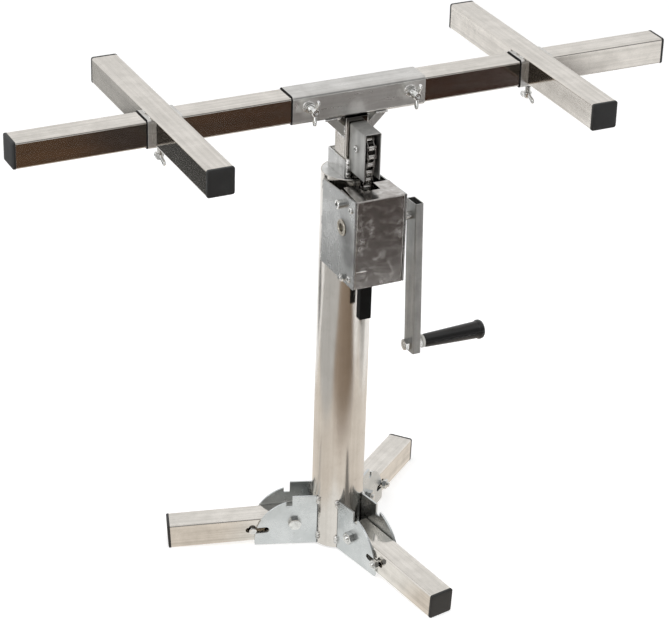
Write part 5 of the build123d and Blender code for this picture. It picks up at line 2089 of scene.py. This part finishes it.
@dataclass(frozen=True)
class Studio:
    """Camera, floor, lamps, surround and the cards that the steel mirrors."""

    azimuth: float = -26.52
    elevation: float = 27.70
    roll: float = 1.79
    stand: Point = (-1.4310, -2.8394, 2.0486)
    lens: float = 135.2
    sensor: float = 36.0
    floor_half: float = 30.0
    floor_paint: float = 0.75
    floor_glow: float = 0.58
    card_gap: float = 0.001
    card_blend: float = 0.9
    front_level: float = 0.28
    front_tilt: float = 0.6
    front_fade: Pair = (-0.50, 0.25)
    fill_level: float = 0.45

    def build(self) -> None:
        """Put up the whole stage."""
        self.camera()
        self.floor()
        self.world()
        for number, card in enumerate(CARDS, 1):
            self.card(card, self.card_gap * number)
        for lamp in LAMPS:
            self.lamp(lamp)
        bpy.context.scene.view_settings.view_transform = "Standard"

    def camera(self) -> None:
        """Set the camera where the photograph was taken from."""
        a, e, r = (math.radians(v) for v in (self.azimuth, self.elevation, self.roll))
        back = Vector((math.sin(a) * math.cos(e), -math.cos(a) * math.cos(e), math.sin(e)))
        right = Vector((math.cos(a), math.sin(a), 0.0))
        up = back.cross(right)
        right, up = math.cos(r) * right + math.sin(r) * up, math.cos(r) * up - math.sin(r) * right
        data = bpy.data.cameras.new("camera")
        data.lens = self.lens
        data.sensor_width = self.sensor
        data.sensor_fit = "HORIZONTAL"
        camera = bpy.data.objects.new("camera", data)
        camera.matrix_world = Matrix.Translation(self.stand) @ Matrix((right, up, back)).transposed().to_4x4()
        bpy.context.scene.collection.objects.link(camera)
        bpy.context.scene.camera = camera

    def plane(self, name: str, centre: Point, half: float) -> bpy.types.Object:
        """Add a level square to the stage.

        Args:
            name: its name.
            centre: its middle.
            half: half its side.

        Returns:
            The object.
        """
        mesh = bpy.data.meshes.new(name)
        x, y, z = centre
        corners = [(x + half * i, y + half * j, z) for i, j in ((-1, -1), (1, -1), (1, 1), (-1, 1))]
        mesh.from_pydata(corners, [], [(0, 1, 2, 3)])
        made = linked(name, mesh)
        return made

    def floor(self) -> None:
        """Pale floor that stays white to the camera and keeps the jack's shadow."""
        made = self.plane("floor", (0.0, 0.0, 0.0), self.floor_half)
        material, sheet = new_material("pale_floor")
        seen = sheet.node("ShaderNodeLightPath", output="Is Camera Ray")
        seen = seen.most(sheet.other(seen, "Is Glossy Ray")).most(sheet.other(seen, "Is Transmission Ray"))
        paint = sheet.node("ShaderNodeBsdfDiffuse", {}, {"Color": opaque(even(self.floor_paint))})
        inputs = {"Color": opaque(even(self.floor_glow)), "Strength": seen}
        glow = sheet.node("ShaderNodeEmission", {}, inputs)
        sheet.surface(sheet.node("ShaderNodeAddShader", {}, {0: paint, 1: glow}))
        made.data.materials.append(material)

    def card(self, card: Card, height: float) -> None:
        """Lay a soft-edged card just above the floor that only reflections see.

        Args:
            card: the card.
            height: how far above the floor it lies, in metres.
        """
        x, y = card.centre
        made = self.plane(card.name, (x, y, height), card.span)
        made.visible_camera = False
        made.visible_diffuse = False
        made.visible_shadow = False
        made.visible_transmission = False
        material, sheet = new_material(card.name)
        inputs = {
            "Vector": sheet.object_place(),
            "Location": (x, y, 0.0),
            "Rotation": (0.0, 0.0, math.radians(card.turn)),
            "Scale": (*card.half, 1.0),
        }
        across, along, _ = sheet.parts(sheet.node("ShaderNodeMapping", {"vector_type": "TEXTURE"}, inputs))
        blend = across.step(-self.card_blend, self.card_blend)
        colour = sheet.mix(blend, card.start, card.end or card.start)
        clear_x, clear_y = (abs(way).step(1.0 - card.soft, 1.0) for way in (across, along))
        faded = 1.0 - (1.0 - clear_x) * (1.0 - clear_y)
        glow = sheet.node("ShaderNodeEmission", {}, {"Color": colour, "Strength": 1.0})
        clear = sheet.node("ShaderNodeBsdfTransparent")
        sheet.surface(sheet.node("ShaderNodeMixShader", {}, {0: faded, 1: glow, 2: clear}))
        made.data.materials.append(material)

    def lamp(self, lamp: Lamp) -> None:
        """Hang a lamp.

        Args:
            lamp: the lamp.
        """
        data = bpy.data.lights.new(lamp.name, "AREA")
        data.size = lamp.side
        data.energy = lamp.power
        made = bpy.data.objects.new(lamp.name, data)
        made.location = lamp.place
        made.rotation_euler = (Vector(lamp.aim) - Vector(lamp.place)).to_track_quat("-Z", "Y").to_euler()
        made.visible_glossy = lamp.mirrored
        bpy.context.scene.collection.objects.link(made)

    def world(self) -> None:
        """Pale surround, white to the camera, and darker in front for what mirrors it."""
        world = bpy.data.worlds.new("surround")
        world.use_nodes = True
        sheet = Sheet(world.node_tree)
        camera = sheet.node("ShaderNodeLightPath", output="Is Camera Ray")
        clear = camera.most(sheet.other(camera, "Is Transmission Ray"))
        glossy = sheet.other(camera, "Is Glossy Ray")
        _, back, up = sheet.parts(sheet.node("ShaderNodeTexCoord", output="Generated"))
        rise = (back + self.front_tilt * up).step(*self.front_fade)
        mirrored = self.front_level + (1.0 - self.front_level) * rise
        strength = clear + (1.0 - clear) * (glossy * mirrored + (1.0 - glossy) * self.fill_level)
        inputs = {"Color": opaque(even(1.0)), "Strength": strength}
        sheet.node("ShaderNodeOutputWorld", {}, {"Surface": sheet.node("ShaderNodeBackground", {}, inputs)})
        bpy.context.scene.world = world


def main() -> None:
    """Build the jack and the studio around it."""
    logging.basicConfig(level=logging.INFO, format="%(name)s: %(message)s")
    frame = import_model()
    bench = Bench(frame)
    for assembly in (Mast(), Tripod(), Winch(), ChainDrive(), Crank(), LoadHead()):
        assembly.build(bench)
    Studio().build()


if __name__ == "__main__":
    main()
